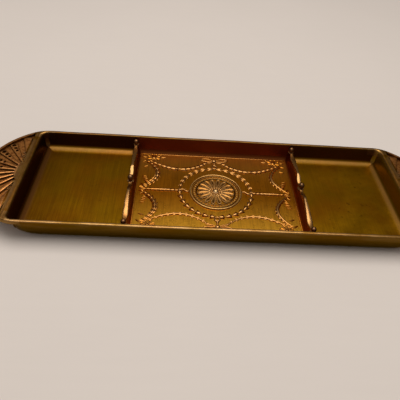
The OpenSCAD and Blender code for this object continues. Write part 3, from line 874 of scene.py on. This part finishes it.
def wobbled(piece, amount, flat_z, top_z):
    """Gives a casting the slight unevenness of sand moulding, none near its flat underside."""
    noise.seed_set(WOBBLE_SEED)

    def rule(p):
        share = min(max((p.z - flat_z) / (top_z - flat_z), 0.0), 1.0)
        push = noise.noise_vector(Vector((p.x * 0.035, p.y * 0.05, p.z * 0.02 + 7.0)))
        small = noise.noise_vector(Vector((p.x * 0.16, p.y * 0.16, 3.0)))
        shift = (push + small * 0.35) * amount * share
        return p + Vector((shift.x, shift.y, shift.z * 0.7))
    return moved(piece, rule)


def hub_circle(s, f):
    """Middle and radius of the circle that the hub is part of."""
    r = (f.hub_half ** 2 + f.hub ** 2) / (2 * f.hub)
    return s.well_half + f.band + f.hub - r, r


def field_cutter(s, f):
    """The tool that sinks the field of the right handle: an arched plate without the hub."""
    floor = s.rim_z - f.depth
    tool = drum("field_tool", 128, s.arc - f.edge, 4.0, (s.half_length - s.arc, 0, floor + 2.0))
    editing(tool, lambda face: True)
    bpy.ops.mesh.bisect(plane_co=(s.well_half + f.band, 0, 0), plane_no=(1, 0, 0), use_fill=True,
                        clear_inner=True)
    closed()
    hub_x, hub_r = hub_circle(s, f)
    return boolean(tool, drum("hub_tool", 160, hub_r, 12.0, (hub_x, 0, floor)), "DIFFERENCE")


# Share of its step that a reed fills, how bluntly its ends widen, and how deep it sits in the field.
REED_FILL, REED_BLUNT, REED_SUNK = 0.58, 1.9, 0.5
# How far the reeds stay below the rim and off the edge of the field, and go into the hub and band.
REED_BELOW, REED_OFF, REED_LAP = 0.35, 0.15, 1.0
# Holes of a reed: distance back from its tip, and radius. They keep clear of the edge and of its root.
HOLES = ((2.3, 1.15), (5.2, 0.98), (7.9, 0.78))
HOLE_EDGE, HOLE_CLEAR = 0.7, 3.6
# Small rings beside the band: distance from the middle line, and size.
EYELETS = [(10.6 + 3.1 * k, 0.74 + 0.05 * k) for k in range(5)]


def reed_pattern(start, end, step, high):
    """A reed along X with a broad flat back and round edges, widening to its blunt tip."""
    reed = sphere("reed", 20, 18, True)

    def rule(p):
        r = start + (end - start) * (p.x + 1) / 2
        half = r * tan(step / 2) * REED_FILL
        crown = hypot(p.y, p.z)
        if crown < 1e-4:
            return Vector((r, 0.0, 0.0))
        blunt = min(1.0, crown * REED_BLUNT)
        y, z = (copysign(abs(part / crown) ** 0.5, part) for part in (p.y, p.z))
        return Vector((r, y * half * blunt, z * (high if z > 0 else REED_SUNK) * blunt))
    return moved(reed, rule)


def to_circle(angle, away, r):
    """Distance along an angle to a circle, from a point that lies away from its middle on X."""
    return -away * cos(angle) + sqrt(r ** 2 - (away * sin(angle)) ** 2)


def fan(s, f):
    """Drilled reeds and small rings in the field of the right handle."""
    arc_x = s.half_length - s.arc
    floor, high = s.rim_z - f.depth, f.depth - REED_BELOW
    step = f.spread / (f.reeds - 1)
    source, edge_x = s.well_half + f.source, s.well_half + f.band
    hub_x, hub_r = hub_circle(s, f)
    reeds, holes, rings = [], [], []

    def reach(angle, inset):
        return to_circle(angle, source - arc_x, s.arc - f.edge - inset)

    def root(angle, gap):
        hub = to_circle(angle, source - hub_x, hub_r + gap)
        band = (f.band - f.source + gap) / max(cos(angle), 0.05)
        return max(hub, band) if abs(hub * sin(angle)) < f.hub_half else band

    eyelet = torus("eyelet", 0.42, 14, 6)
    for i in range(f.reeds):
        angle = -f.spread / 2 + i * step
        reed = reed_pattern(root(angle, -REED_LAP), reach(angle, REED_OFF), step, high)
        reed.matrix_world = placed(source, 0, floor, angle)
        reeds.append(reed)
        for back, size in HOLES:
            r = reach(angle, HOLE_EDGE) - back
            if r > root(angle, HOLE_CLEAR):
                place = (source + r * cos(angle), r * sin(angle), floor + 1.15)
                holes.append(drum("hole", 14, size, 2.0, place))
    for side in (-1, 1):
        for y, size in EYELETS:
            if hypot(edge_x + 1.4 - arc_x, y) < s.arc - f.edge - 1.2:
                place = placed(edge_x + 1.6, side * y, floor + 0.2, 0.0, (size, size, size))
                rings.append(copied(eyelet, place))
    remove(eyelet)
    drilled = boolean(joined(reeds, "reeds"), joined(holes, "holes"), "DIFFERENCE", "EXACT")
    return joined([drilled] + rings, "fan")


def mirrored(piece):
    """A copy on the other side of the middle, with its normals outwards."""
    return outward(settle(copied(piece, Matrix.Diagonal((-1.0, 1.0, 1.0, 1.0)))))


# Bore and head of the screws and of the rivet, and the screws' distance from the middle line.
SCREW_Y, SCREW_SEAT, RIVET_SEAT = 20.0, (1.6, 3.0), (2.0, 4.0)
SEATS = [(x, y, SCREW_SEAT) for x in (DIVIDER_X, -DIVIDER_X) for y in (SCREW_Y, -SCREW_Y)]
SEATS.append((0.0, 0.0, RIVET_SEAT))


def seat_tools(x, y, sizes, z):
    """The countersink and the bore of a screw or rivet that enters from below."""
    narrow, wide = sizes
    depth = (wide - narrow) / 2 + 0.05
    sink = primitive("cone", "seat", vertices=32, radius1=wide / 2 + 0.2, radius2=narrow / 2 + 0.05,
                     depth=depth + 0.1, location=(x, y, z + depth / 2 - 0.05))
    return sink, drum("bore", 24, narrow / 2 + 0.04, 5.0, (x, y, z + 2.0))


class TRAY_OT_casting(bpy.types.Operator):
    """Model the cast tub with its two arched handles and their fans"""
    bl_idname = "tray.casting"
    bl_label = "Casting"

    def execute(self, context):
        s, f, c = context.scene.tray_sizes, context.scene.fan_sizes, context.scene.tray_finishes
        tub = wobbled(lofted("tub", tub_rings(s)), s.wobble, s.floor_z + 1.0, s.rim_z)
        field = field_cutter(s, f)
        tools = [field, mirrored(field)]
        for x, y, sizes in SEATS:
            tools += seat_tools(x, y, sizes, s.under_z)
        for tool in tools:
            boolean(tub, tool, "DIFFERENCE", "EXACT")
        right = fan(s, f)
        piece = joined([tub, right, mirrored(right)], "casting")
        finish = gilt("gilt_tray", c.gilt, c.amber, c.worn, c.patina, rough=0.36, grime=0.75, reach=3.0,
                      rub=0.35, dress=casting_dress(s, f, c))
        finished(piece, "tray_casting", ["tray_body"], finish)
        return {"FINISHED"}


def husk_pattern():
    """A bell husk along X: a bud that swells to its mouth, between two small leaves."""
    bud = sphere("bud", 8, 5, True)
    moved(bud, lambda p: Vector((p.x * 1.65, p.y * (0.60 + 0.24 * p.x), p.z * (0.72 + 0.24 * p.x))))
    parts = [bud]
    for side in (-1, 1):
        leaf = sphere("leaf", 5, 4, True)
        moved(leaf, lambda p: Vector((p.x * 1.1 + 0.45, p.y * 0.30 + side * (0.68 + 0.30 * p.x), p.z * 0.50)))
        parts.append(leaf)
    return joined(parts, "husk")


def petal_pattern(start, end, wide, high, dish):
    """A spoon petal along X: a drop shaped outline with a raised rim and a sunk middle."""
    petal = primitive("circle", "petal", vertices=22, radius=1.0, fill_type="NGON")
    middle, half = (start + end) / 2, (end - start) / 2

    def rule(p):
        share = (p.x + 1) / 2
        return Vector((middle + half * p.x, p.y * wide / 2 * (0.30 + 0.70 * share ** 0.8), 0.0))
    moved(petal, rule)
    editing(petal, lambda face: True)
    bpy.ops.mesh.extrude_region_move(TRANSFORM_OT_translate={"value": (0, 0, high)})
    for share, depth in ((0.10, 0.06), (0.10, -dish * 0.5), (0.12, -dish * 0.5)):
        bpy.ops.mesh.inset(thickness=wide * share, depth=depth)
    closed()
    return petal


def leaf_pattern():
    """A slim pointed leaf along X from 0 to 1, with a ridge along its back."""
    leaf = sphere("leaf", 8, 8, True)

    def rule(p):
        share = (p.x + 1) / 2
        ridge = 0.05 if p.z > 0 and abs(p.y) < 0.05 else 0.0
        return Vector((share, p.y * (0.34 - 0.16 * share), p.z * 0.16 + ridge * (1 - share)))
    return moved(leaf, rule)


# Short steps in which the length of a curve is measured.
FINE_STEPS = 200


def along(curve, count, start=0.0, end=1.0):
    """Places, turns and shares at even steps along a curve given as a function of 0 to 1."""
    fine = [curve(start + (end - start) * i / FINE_STEPS) for i in range(FINE_STEPS + 1)]
    run = [0.0]
    for a, b in zip(fine, fine[1:]):
        run.append(run[-1] + hypot(b[0] - a[0], b[1] - a[1]))
    spots = []
    for k in range(count):
        share = k / max(count - 1, 1)
        want = run[-1] * share
        i = min(max(next((j for j, d in enumerate(run) if d >= want), FINE_STEPS), 1), FINE_STEPS)
        part = (want - run[i - 1]) / max(run[i] - run[i - 1], 1e-9)
        a, b = fine[i - 1], fine[i]
        spots.append((a[0] + (b[0] - a[0]) * part, a[1] + (b[1] - a[1]) * part,
                      atan2(b[1] - a[1], b[0] - a[0]), share))
    return spots


def bowed(p, middle, q):
    """A curve from p to q through a middle point."""
    c = (2 * middle[0] - (p[0] + q[0]) / 2, 2 * middle[1] - (p[1] + q[1]) / 2)

    def curve(t):
        return tuple((1 - t) ** 2 * a + 2 * t * (1 - t) * b + t * t * d for a, b, d in zip(p, c, q))
    return curve


# Turned profile of the medallion: radius, and height above the plate.
MEDALLION = ((14.7, -0.3), (14.66, 0.35), (14.45, 0.76), (14.12, 0.90), (13.84, 0.76), (13.68, 0.05),
             (13.3, 0.05), (13.16, 0.52), (12.95, 0.70), (12.72, 0.54), (12.56, 0.06), (11.4, 0.06),
             (11.28, 0.46), (11.08, 0.60), (10.86, 0.46), (10.72, 0.0), (10.4, 0.0), (8.0, 0.05),
             (5.0, 0.25), (3.2, 0.42), (2.6, 0.46), (1.1, 0.46), (1.1, -0.3))
TICK_RING, PEARL_RING, PEARLS = 11.95, 2.35, 10
ROSETTE_PETALS = 8


def medallion(r, z):
    """The round medallion: turned mouldings, a band of ticks, spoon petals and a ring of pearls."""
    mouldings = spun("mouldings", MEDALLION, 96)
    mouldings.location.z = z
    tick = bar("tick", (0.95, 0.42, 0.9), (0, 0, 0), edge=0.12, segments=1)
    petal = petal_pattern(start=3.0, end=10.4, wide=3.2, high=0.46, dish=0.30)
    moved(petal, lambda p: Vector((p.x, p.y, p.z + 0.16 * (1 - p.x / 10.0))))
    pearl = sphere("pearl", 8, 5)
    pieces = ([mouldings] + around(tick, r.ticks, TICK_RING, z + 0.1)
              + around(petal, r.petals, 0.0, z + 0.1, first=0.5)
              + around(pearl, PEARLS, PEARL_RING, z + 0.46, (0.72, 0.50, 0.34)))
    remove(tick, petal, pearl)
    return pieces


def rosette(z):
    """A corner rosette of petals round a button, drawn about the origin."""
    petal = petal_pattern(start=1.0, end=4.1, wide=2.2, high=0.42, dish=0.3)
    pieces = around(petal, ROSETTE_PETALS, 0.0, z - 0.05, first=0.5)
    button = sphere("button", 14, 8)
    button.matrix_world = placed(0, 0, z + 0.2, 0, (1.3, 1.3, 0.65))
    remove(petal)
    return joined(pieces + [button], "rosette")


# A loop and a tail of the bow on its right side.
LOOP = ((0.4, 27.7), (2.4, 29.2), (5.2, 29.9), (8.0, 29.2), (7.8, 27.9), (5.2, 27.0), (2.4, 27.0),
        (0.4, 27.4))
TAIL = ((0.6, 27.0), (2.4, 25.6), (4.4, 26.0), (6.4, 25.0))
# Hanging beads of the bow: distance from the middle, and size.
BOW_BEADS = ((25.2, 0.62), (23.9, 0.78))


def bow(z):
    """The bow in the middle of the back edge: knot, two loops, two tails and a hanging drop."""
    pieces = []
    for side in (-1, 1):
        for name, run, width in (("loop", LOOP, 0.46), ("tail", TAIL, 0.42)):
            points = [(side * x, y, z + 0.02) for x, y in run]
            radii = [width * (0.75 + 0.35 * sin(pi * i / (len(run) - 1))) for i in range(len(run))]
            pieces.append(strand(name, points, radii))
    knot = sphere("knot", 12, 8)
    knot.matrix_world = placed(0, 27.4, z + 0.2, 0, (1.35, 1.2, 0.95))
    pieces.append(knot)
    for y, size in BOW_BEADS:
        bead = sphere("drop", 10, 6)
        bead.matrix_world = placed(0, y, z + 0.1, 0, (size, size, size * 0.85))
        pieces.append(bead)
    ring = torus("ring", 0.5, 18, 8, 1.25)
    ring.matrix_world = placed(0, 21.6, z + 0.2, 0, (1.0, 1.15, 1.0))
    return joined(pieces + [ring], "bow")


# Leaves of a quarter: place, turn in degrees, and length.
SPRIGS = ((40.0, 28.4, 8, 3.4), (39.2, 30.2, 40, 2.4), (32.0, 28.6, 176, 3.6), (32.8, 30.2, 140, 2.4),
          (39.8, 25.6, -30, 3.2), (39.2, 0.6, 14, 3.6), (38.8, 1.8, 40, 4.2), (37.8, 3.4, 62, 4.2),
          (37.6, 6.2, 24, 3.6), (37.8, 8.4, 14, 3.8), (38.6, 10.6, 6, 3.2), (38.4, 20.6, -20, 3.4))


def quarter_relief(r, z, smooth_swag, smooth_side):
    """Garland, festoons, rosette and leaves of one quarter, drawn at the right back.

    A quarter with a smooth swag belongs to the front. The others also hold the chain on the middle.
    """
    pieces = []
    husk, leaf = husk_pattern(), leaf_pattern()
    tie = torus("tie", 0.5, 10, 6, rotation=(0, pi / 2, 0))

    def chain(curve, count, small, large, high, cord, start=0.0, end=1.0, tied=False, long=1.0):
        """Husks on a cord along a curve, the largest in the middle, where a tie may take its place."""
        spots = along(curve, count + 1, start, end)
        pieces.append(strand("cord", [(x, y, z) for x, y, _, _ in spots],
                             [cord * (0.55 + 0.45 * sin(pi * t)) for _, _, _, t in spots]))
        for x, y, turn, share in along(curve, count, start, end):
            size = small + (large - small) * sin(pi * share)
            if tied and abs(share - 0.5) < 0.5 / count:
                pieces.append(copied(tie, placed(x, y, z, turn, (0.8, 1.0, 0.85))))
            else:
                pieces.append(copied(husk, placed(x, y, z + 0.08, turn, (size * long, size, size * high))))

    def arc(t):
        angle = pi / 2 * (1 - t)
        return (r.garland * cos(angle), r.garland * sin(angle))

    small, large, long = (1.46, 1.54, 0.78) if smooth_swag else (1.08, 1.16, 1.25)
    chain(arc, (r.husks - 1) // 2, small, large, high=0.70, cord=0.42, start=1.2 / r.husks,
          end=1.0 - 0.8 / r.husks, long=long)
    swag = bowed((38.0, 25.4), (20.5, 18.6), (5.4, 25.0))
    if smooth_swag:
        chain(swag, 12, small=0.78, large=1.02, high=0.8, cord=0.72, tied=True)
    else:
        chain(swag, 13, small=1.2, large=1.62, high=0.58, cord=0.6, tied=True)
        chain(lambda t: (40.0 - 18.0 * t, 0.0), 9, small=1.0, large=1.22, high=0.72, cord=0.72)
    side = bowed((39.4, 24.8), (33.0, 13.2), (40.8, 1.6))
    if smooth_side:
        chain(side, 12, small=0.85, large=1.25, high=0.75, cord=1.05)
    else:
        chain(side, 11, small=1.15, large=1.62, high=0.66, cord=0.8)
    flower = rosette(z)
    flower.matrix_world = placed(36.0, 28.0, 0)
    pieces.append(flower)
    for x, y, turn, size in SPRIGS:
        place = placed(x, y, z + 0.02, radians(turn), (size, size * 0.62, size * 0.75))
        pieces.append(copied(leaf, place))
    remove(husk, leaf, tie)
    return joined(pieces, "quarter")


# A waved link on the right: its points, and the radius at each.
LINK = ((14.9, 0.5, 0.42), (15.8, 1.0, 0.58), (16.8, 0.4, 0.62), (17.6, -0.6, 0.62), (18.7, -1.0, 0.55),
        (19.8, -0.2, 0.42))


def waved_link(z):
    """The waved link between medallion and garland on the right."""
    return strand("link", [(x, y, z + 0.1) for x, y, _ in LINK], [r for _, _, r in LINK], flat=1.1)


# Distance of the raised border lines beside the dividers from the middle.
LINE_X = 44.25
# Insets of the rings round the plate's top, and the cuts across what they leave.
PLATE_INSETS, PLATE_CUTS = (0.3, 0.6), 24


class TRAY_OT_relief(bpy.types.Operator):
    """Model the ornamented plate on the floor of the middle compartment"""
    bl_idname = "tray.relief"
    bl_label = "Relief plate"

    def execute(self, context):
        r, c = context.scene.relief_sizes, context.scene.tray_finishes
        z = r.top_z
        plate = primitive("cube", "plate", size=2.0, scale=(r.half_x, r.half_y, r.thick / 2),
                          location=(0, 0, z - r.thick / 2))
        editing(plate, lambda face: face.normal.z > 0.9)
        for inset in PLATE_INSETS:
            bpy.ops.mesh.inset(thickness=inset, depth=0.0)
        bpy.ops.mesh.subdivide(number_cuts=PLATE_CUTS)
        closed()
        moved(plate, lambda p: p if p.z > z - 0.1 else Vector((p.x, copysign(r.foot_y, p.y), p.z)))
        boolean(plate, drum("hole", 32, RIVET_SEAT[0] / 2 + 0.05, 4.0, (0, 0, z)), "DIFFERENCE", "EXACT")
        ribbon, link = bow(z), waved_link(z)
        pieces = [plate] + medallion(r, z)
        for side in (1, -1):
            for row in (1, -1):
                part = quarter_relief(r, z, row < 0, side > 0)
                pieces.append(copied(part, Matrix.Diagonal((side, row, 1.0, 1.0))))
                remove(part)
        for side in (1, -1):
            pieces.append(copied(ribbon, Matrix.Diagonal((1.0, side, 1.0, 1.0))))
            pieces.append(copied(link, Matrix.Diagonal((side, side, 1.0, 1.0))))
            lines = (((2 * LINE_X - 0.1, 0.7, 0.6), (0, side * (r.half_y - 0.5), z + 0.02), 0.25),
                     ((0.6, 2 * r.half_y - 0.4, 0.6), (side * LINE_X, 0, z + 0.02), 0.22))
            pieces += [bar("line", size, place, edge, segments=3) for size, place, edge in lines]
        remove(ribbon, link)
        for piece in pieces:
            settle(piece)
        piece = outward(joined(pieces, "relief"))
        finish = gilt("gilt_relief", c.plate, c.shaded, c.rubbed, c.patina, rough=0.29, grime=0.48, reach=1.0,
                      rub=0.41, lift=r.top_z, dress=plate_dress(r, c))
        finished(piece, "relief_plate", ["relief_panel"], finish, 50.0)
        return {"FINISHED"}


# Turned profile of the rivet from its tail to its dome: radius, and height above the table.
RIVET = ((1.95, 1.0), (1.98, 1.04), (1.0, 1.1), (1.0, 4.1), (1.6, 4.18), (1.66, 4.28), (1.6, 4.38),
         (1.45, 4.42), (1.42, 4.52), (1.3, 4.82), (0.95, 5.12), (0.5, 5.26), (0.12, 5.3))


class TRAY_OT_rivet(bpy.types.Operator):
    """Model the domed rivet in the middle of the medallion"""
    bl_idname = "tray.rivet"
    bl_label = "Rivet"

    def execute(self, context):
        c = context.scene.tray_finishes
        finish = gilt("gilt_boss", c.crest, c.plate, c.crest, c.patina, rough=0.32, grime=0.35, reach=1.2,
                      rub=0.6)
        finished(spun("rivet", RIVET, 48), "center_boss", ["center_rivet"], finish)
        return {"FINISHED"}


# Rise of the crest, and half its width, at distances from the middle of a divider.
CREST = ((0.0, 0.4), (4.0, 0.0), (9.6, 2.0), (11.5, 2.1), (16.0, 1.7), (22.0, 0.9), (28.4, 0.0), (33.4, 0.4))
BROAD = ((0.0, 1.1), (3.2, 0.9), (6.5, 1.15), (11.0, 0.74), (16.0, 0.98), (22.0, 1.25), (27.0, 1.42),
         (29.6, 1.0), (31.5, 0.8), (35.0, 0.95))
DIVIDER_STEPS = 110
# Middles of the finial and the end balls above the valleys of the crest.
FINIAL_RISE, BALL_RISE = 1.7, 1.6
# Beads on a face of a divider from below: the first one's depth under the crest, their spacing, their sizes.
DROP_START, DROP_STEP = 3.6, 1.12
DROPS = (0.42, 0.62, 0.78, 0.7)
# Collars under a ball: depth under its middle and width, in radii of the ball.
COLLARS = ((0.86, 0.52), (1.32, 0.80))
# Lean of a divider's ends, and how suddenly it begins.
END_LEAN, END_SUDDEN = 0.13, 24


def eased(stations, at):
    """A value on a smooth curve through stations."""
    for i, ((a, u), (b, v)) in enumerate(zip(stations, stations[1:])):
        if at <= b:
            before = stations[i - 1] if i else (-b, v)
            after = stations[i + 2] if i + 2 < len(stations) else (2 * b - a, v)
            t, span = (at - a) / (b - a), b - a
            lead = (v - before[1]) / (b - before[0]) * span
            tail = (after[1] - u) / (after[0] - a) * span
            return ((2 * t ** 3 - 3 * t ** 2 + 1) * u + (t ** 3 - 2 * t ** 2 + t) * lead
                    + (3 * t ** 2 - 2 * t ** 3) * v + (t ** 3 - t ** 2) * tail)
    return stations[-1][1]


def divider_section(y, d, z):
    """The ring of a divider's section at a place along it: foot, hollow sides and a rounded crest."""
    high = d.crest - z + eased(CREST, abs(y))
    top = eased(BROAD, abs(y))
    half = [(d.foot, 0.0), (d.foot, 0.18), (d.foot - 0.12, 0.32), (1.62, 0.6), (1.4, 1.2), (1.2, 2.2),
            (1.0, high * 0.55), (0.86, high - 1.5), (max(0.8, top * 0.9), high - 0.9), (top, high - 0.5),
            (top * 0.98, high - 0.28), (top * 0.8, high - 0.09), (top * 0.42, high - 0.02)]
    outline = half + [(0.0, high)] + [(-x, h) for x, h in half[::-1]]
    slope = (abs(y) / d.reach) ** END_SUDDEN * END_LEAN
    return [Vector((x + d.set_out * min(h / high, 1.0) ** 2, y + copysign(slope * h, y), z + h))
            for x, h in outline]


def divider(d, z):
    """A divider about the middle: crested wall, balls on collars, and drops on its faces."""
    steps = [-d.reach + 2 * d.reach * i / DIVIDER_STEPS for i in range(DIVIDER_STEPS + 1)]
    pieces = [lofted("wall", [divider_section(y, d, z) for y in steps])]
    ball, collar = sphere("ball", 20, 12), torus("collar", 0.42, 20, 8)
    out = d.set_out
    for y, rise, r in ((0.0, FINIAL_RISE, d.finial), (-d.ball_y, BALL_RISE, d.ball),
                       (d.ball_y, BALL_RISE, d.ball)):
        middle = d.crest + rise
        pieces.append(copied(ball, placed(out, y, middle, 0, (r, r, r))))
        for drop, wide in COLLARS:
            size = (r * wide, r * wide, r * 0.6)
            pieces.append(copied(collar, placed(out, y, middle - r * drop, 0, size)))
    for face in (-1, 1):
        for k, size in enumerate(DROPS):
            place = placed(out * 0.6 + face * 0.95, 0, d.crest - DROP_START + DROP_STEP * k, 0,
                           (0.6 * size, size * 0.8, size * 0.62))
            pieces.append(copied(ball, place))
    remove(ball, collar)
    for piece in pieces:
        settle(piece)
    return joined(pieces, "divider")


class TRAY_OT_dividers(bpy.types.Operator):
    """Model the two crested dividers"""
    bl_idname = "tray.dividers"
    bl_label = "Dividers"

    def execute(self, context):
        d, r, c = context.scene.divider_sizes, context.scene.relief_sizes, context.scene.tray_finishes
        finish = gilt("gilt_divider", c.plate, c.amber, c.crest, c.lacquer, rough=0.30, grime=0.7, reach=3.0,
                      rub=0.35, lift=9.0, dress=divider_dress(d, c))
        pattern = divider(d, r.top_z)
        for side, name in ((-1, "left_divider"), (1, "right_divider")):
            turned = Matrix.Rotation(pi if side < 0 else 0.0, 4, "Z")
            piece = settle(copied(pattern, Matrix.Translation((side * d.place, 0, 0)) @ turned))
            finished(piece, name + "_crest", [name], finish)
        remove(pattern)
        return {"FINISHED"}


class TRAY_OT_screws(bpy.types.Operator):
    """Give the four screws under the dividers their brass"""
    bl_idname = "tray.screws"
    bl_label = "Screws"

    def execute(self, context):
        c = context.scene.tray_finishes
        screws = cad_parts["divider_screws"]
        screws.data.materials.clear()
        screws.data.materials.append(brass_finish(c.worn, c.patina))
        return {"FINISHED"}


# Insets of the rings on a pad's faces, how far its edge is drawn in, and its unevenness.
PAD_INSETS, PAD_PULL, PAD_FUZZ = (0.35, 1.8), 0.18, 0.10


class TRAY_OT_pads(bpy.types.Operator):
    """Model the four felt pads under the floor"""
    bl_idname = "tray.pads"
    bl_label = "Felt pads"

    def execute(self, context):
        c = context.scene.tray_finishes
        felt = felt_finish(c.felt)
        for row in ("front", "back"):
            for end in ("left", "right"):
                node = f"felt_pad_{row}_{end}"
                low, high = (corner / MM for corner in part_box(node))
                middle, r = (low + high) / 2, (high.x - low.x) / 2
                pad = drum(node, 48, r, high.z - low.z, middle)
                editing(pad, lambda face: abs(face.normal.z) > 0.9)
                for inset in PAD_INSETS:
                    bpy.ops.mesh.inset(thickness=inset, depth=0.0)
                closed()

                def rule(p, middle=middle, r=r):
                    away = Vector((p.x - middle.x, p.y - middle.y, 0))
                    fuzz = noise.noise(Vector((p.x * 0.9, p.y * 0.9, middle.y))) * PAD_FUZZ
                    pull = -PAD_PULL if away.length > r - 0.1 else fuzz * 0.3
                    return p + (away.normalized() * (pull + fuzz) if away.length > 1 else Vector())
                moved(pad, rule)
                finished(pad, node + "_disc", [node], felt, 60.0)
        return {"FINISHED"}


# The camera: its place, the directions ahead and to the right, focal length and sensor width.
EYE = Vector((-22.9, -183.4, 165.5)) * MM
AHEAD = Vector((0.0587, 0.7354, -0.6751)).normalized()
RIGHTWARD = Vector((0.9972, -0.0124, 0.0733))
LENS, SENSOR = 39.565, 36.0
# Light of the room from below and from above.
LOW_GLOW, HIGH_GLOW = (0.17, 0.15, 0.135), (0.54, 0.52, 0.49)


def lamp(name, place, aim, size, power, tint):
    """A soft square lamp."""
    data = bpy.data.lights.new(name, "AREA")
    data.size = size
    data.energy = power
    data.color = tint
    holder = bpy.data.objects.new(name, data)
    bpy.context.scene.collection.objects.link(holder)
    holder.location = place
    holder.rotation_euler = (Vector(aim) - Vector(place)).to_track_quat("-Z", "Y").to_euler()


class TRAY_OT_stage(bpy.types.Operator):
    """Set up the table, the soft light and the camera"""
    bl_idname = "tray.stage"
    bl_label = "Stage"

    def execute(self, context):
        scene, c = context.scene, context.scene.tray_finishes
        table = primitive("plane", "table", size=6.0)
        table.data.materials.append(table_finish(c.table))
        data = bpy.data.cameras.new("camera")
        data.sensor_width, data.lens, data.clip_start = SENSOR, LENS, 0.01
        camera = bpy.data.objects.new("camera", data)
        scene.collection.objects.link(camera)
        up = RIGHTWARD.cross(AHEAD).normalized()
        side = AHEAD.cross(up).normalized()
        camera.matrix_world = Matrix(((side.x, up.x, -AHEAD.x, EYE.x), (side.y, up.y, -AHEAD.y, EYE.y),
                                      (side.z, up.z, -AHEAD.z, EYE.z), (0, 0, 0, 1)))
        scene.camera = camera
        lamp("overhead", place=(-0.02, 0.12, 0.80), aim=(0.0, 0.0, 0.0), size=0.7, power=5.2,
             tint=(1.0, 0.97, 0.93))
        world = bpy.data.worlds.new("room")
        scene.world = world
        world.use_nodes = True
        nodes = Nodes(world.node_tree)
        light = world.node_tree.nodes["Background"].inputs
        x, y, z = nodes.split(nodes.add("TexCoord", out="Generated"))
        nodes.join(nodes.ramp(z, (0.35, LOW_GLOW), (1.0, HIGH_GLOW)), light["Color"])
        nodes.join(1.0 - y * 0.45 - x * 0.25, light["Strength"])
        scene.view_settings.view_transform = "Standard"
        return {"FINISHED"}


STEPS = (TRAY_OT_stage, TRAY_OT_casting, TRAY_OT_relief, TRAY_OT_rivet, TRAY_OT_dividers, TRAY_OT_screws,
         TRAY_OT_pads)
GROUPS = (("tray_sizes", TraySizes), ("fan_sizes", FanSizes), ("relief_sizes", ReliefSizes),
          ("divider_sizes", DividerSizes), ("tray_finishes", Finishes))


class TRAY_PT_panel(bpy.types.Panel):
    """Lists the pieces of the tray and their sizes"""
    bl_idname = "TRAY_PT_panel"
    bl_label = "Dresser Tray"
    bl_space_type = "VIEW_3D"
    bl_region_type = "UI"
    bl_category = "Dresser Tray"

    def draw(self, context):
        for step in STEPS:
            self.layout.operator(step.bl_idname)
        for name, group in GROUPS:
            held = getattr(context.scene, name)
            box = self.layout.box()
            box.label(text=group.__doc__)
            for key in group.__annotations__:
                box.prop(held, key)


CLASSES = tuple(group for _, group in GROUPS) + STEPS + (TRAY_PT_panel,)


def register():
    for part in CLASSES:
        bpy.utils.register_class(part)
    for name, group in GROUPS:
        setattr(bpy.types.Scene, name, PointerProperty(type=group))


def unregister():
    for name, _ in GROUPS:
        delattr(bpy.types.Scene, name)
    for part in reversed(CLASSES):
        bpy.utils.unregister_class(part)


def main():
    register()
    for step in STEPS:
        group, action = step.bl_idname.split(".")
        getattr(getattr(bpy.ops, group), action)()
    deselect()


if __name__ == "__main__":
    main()
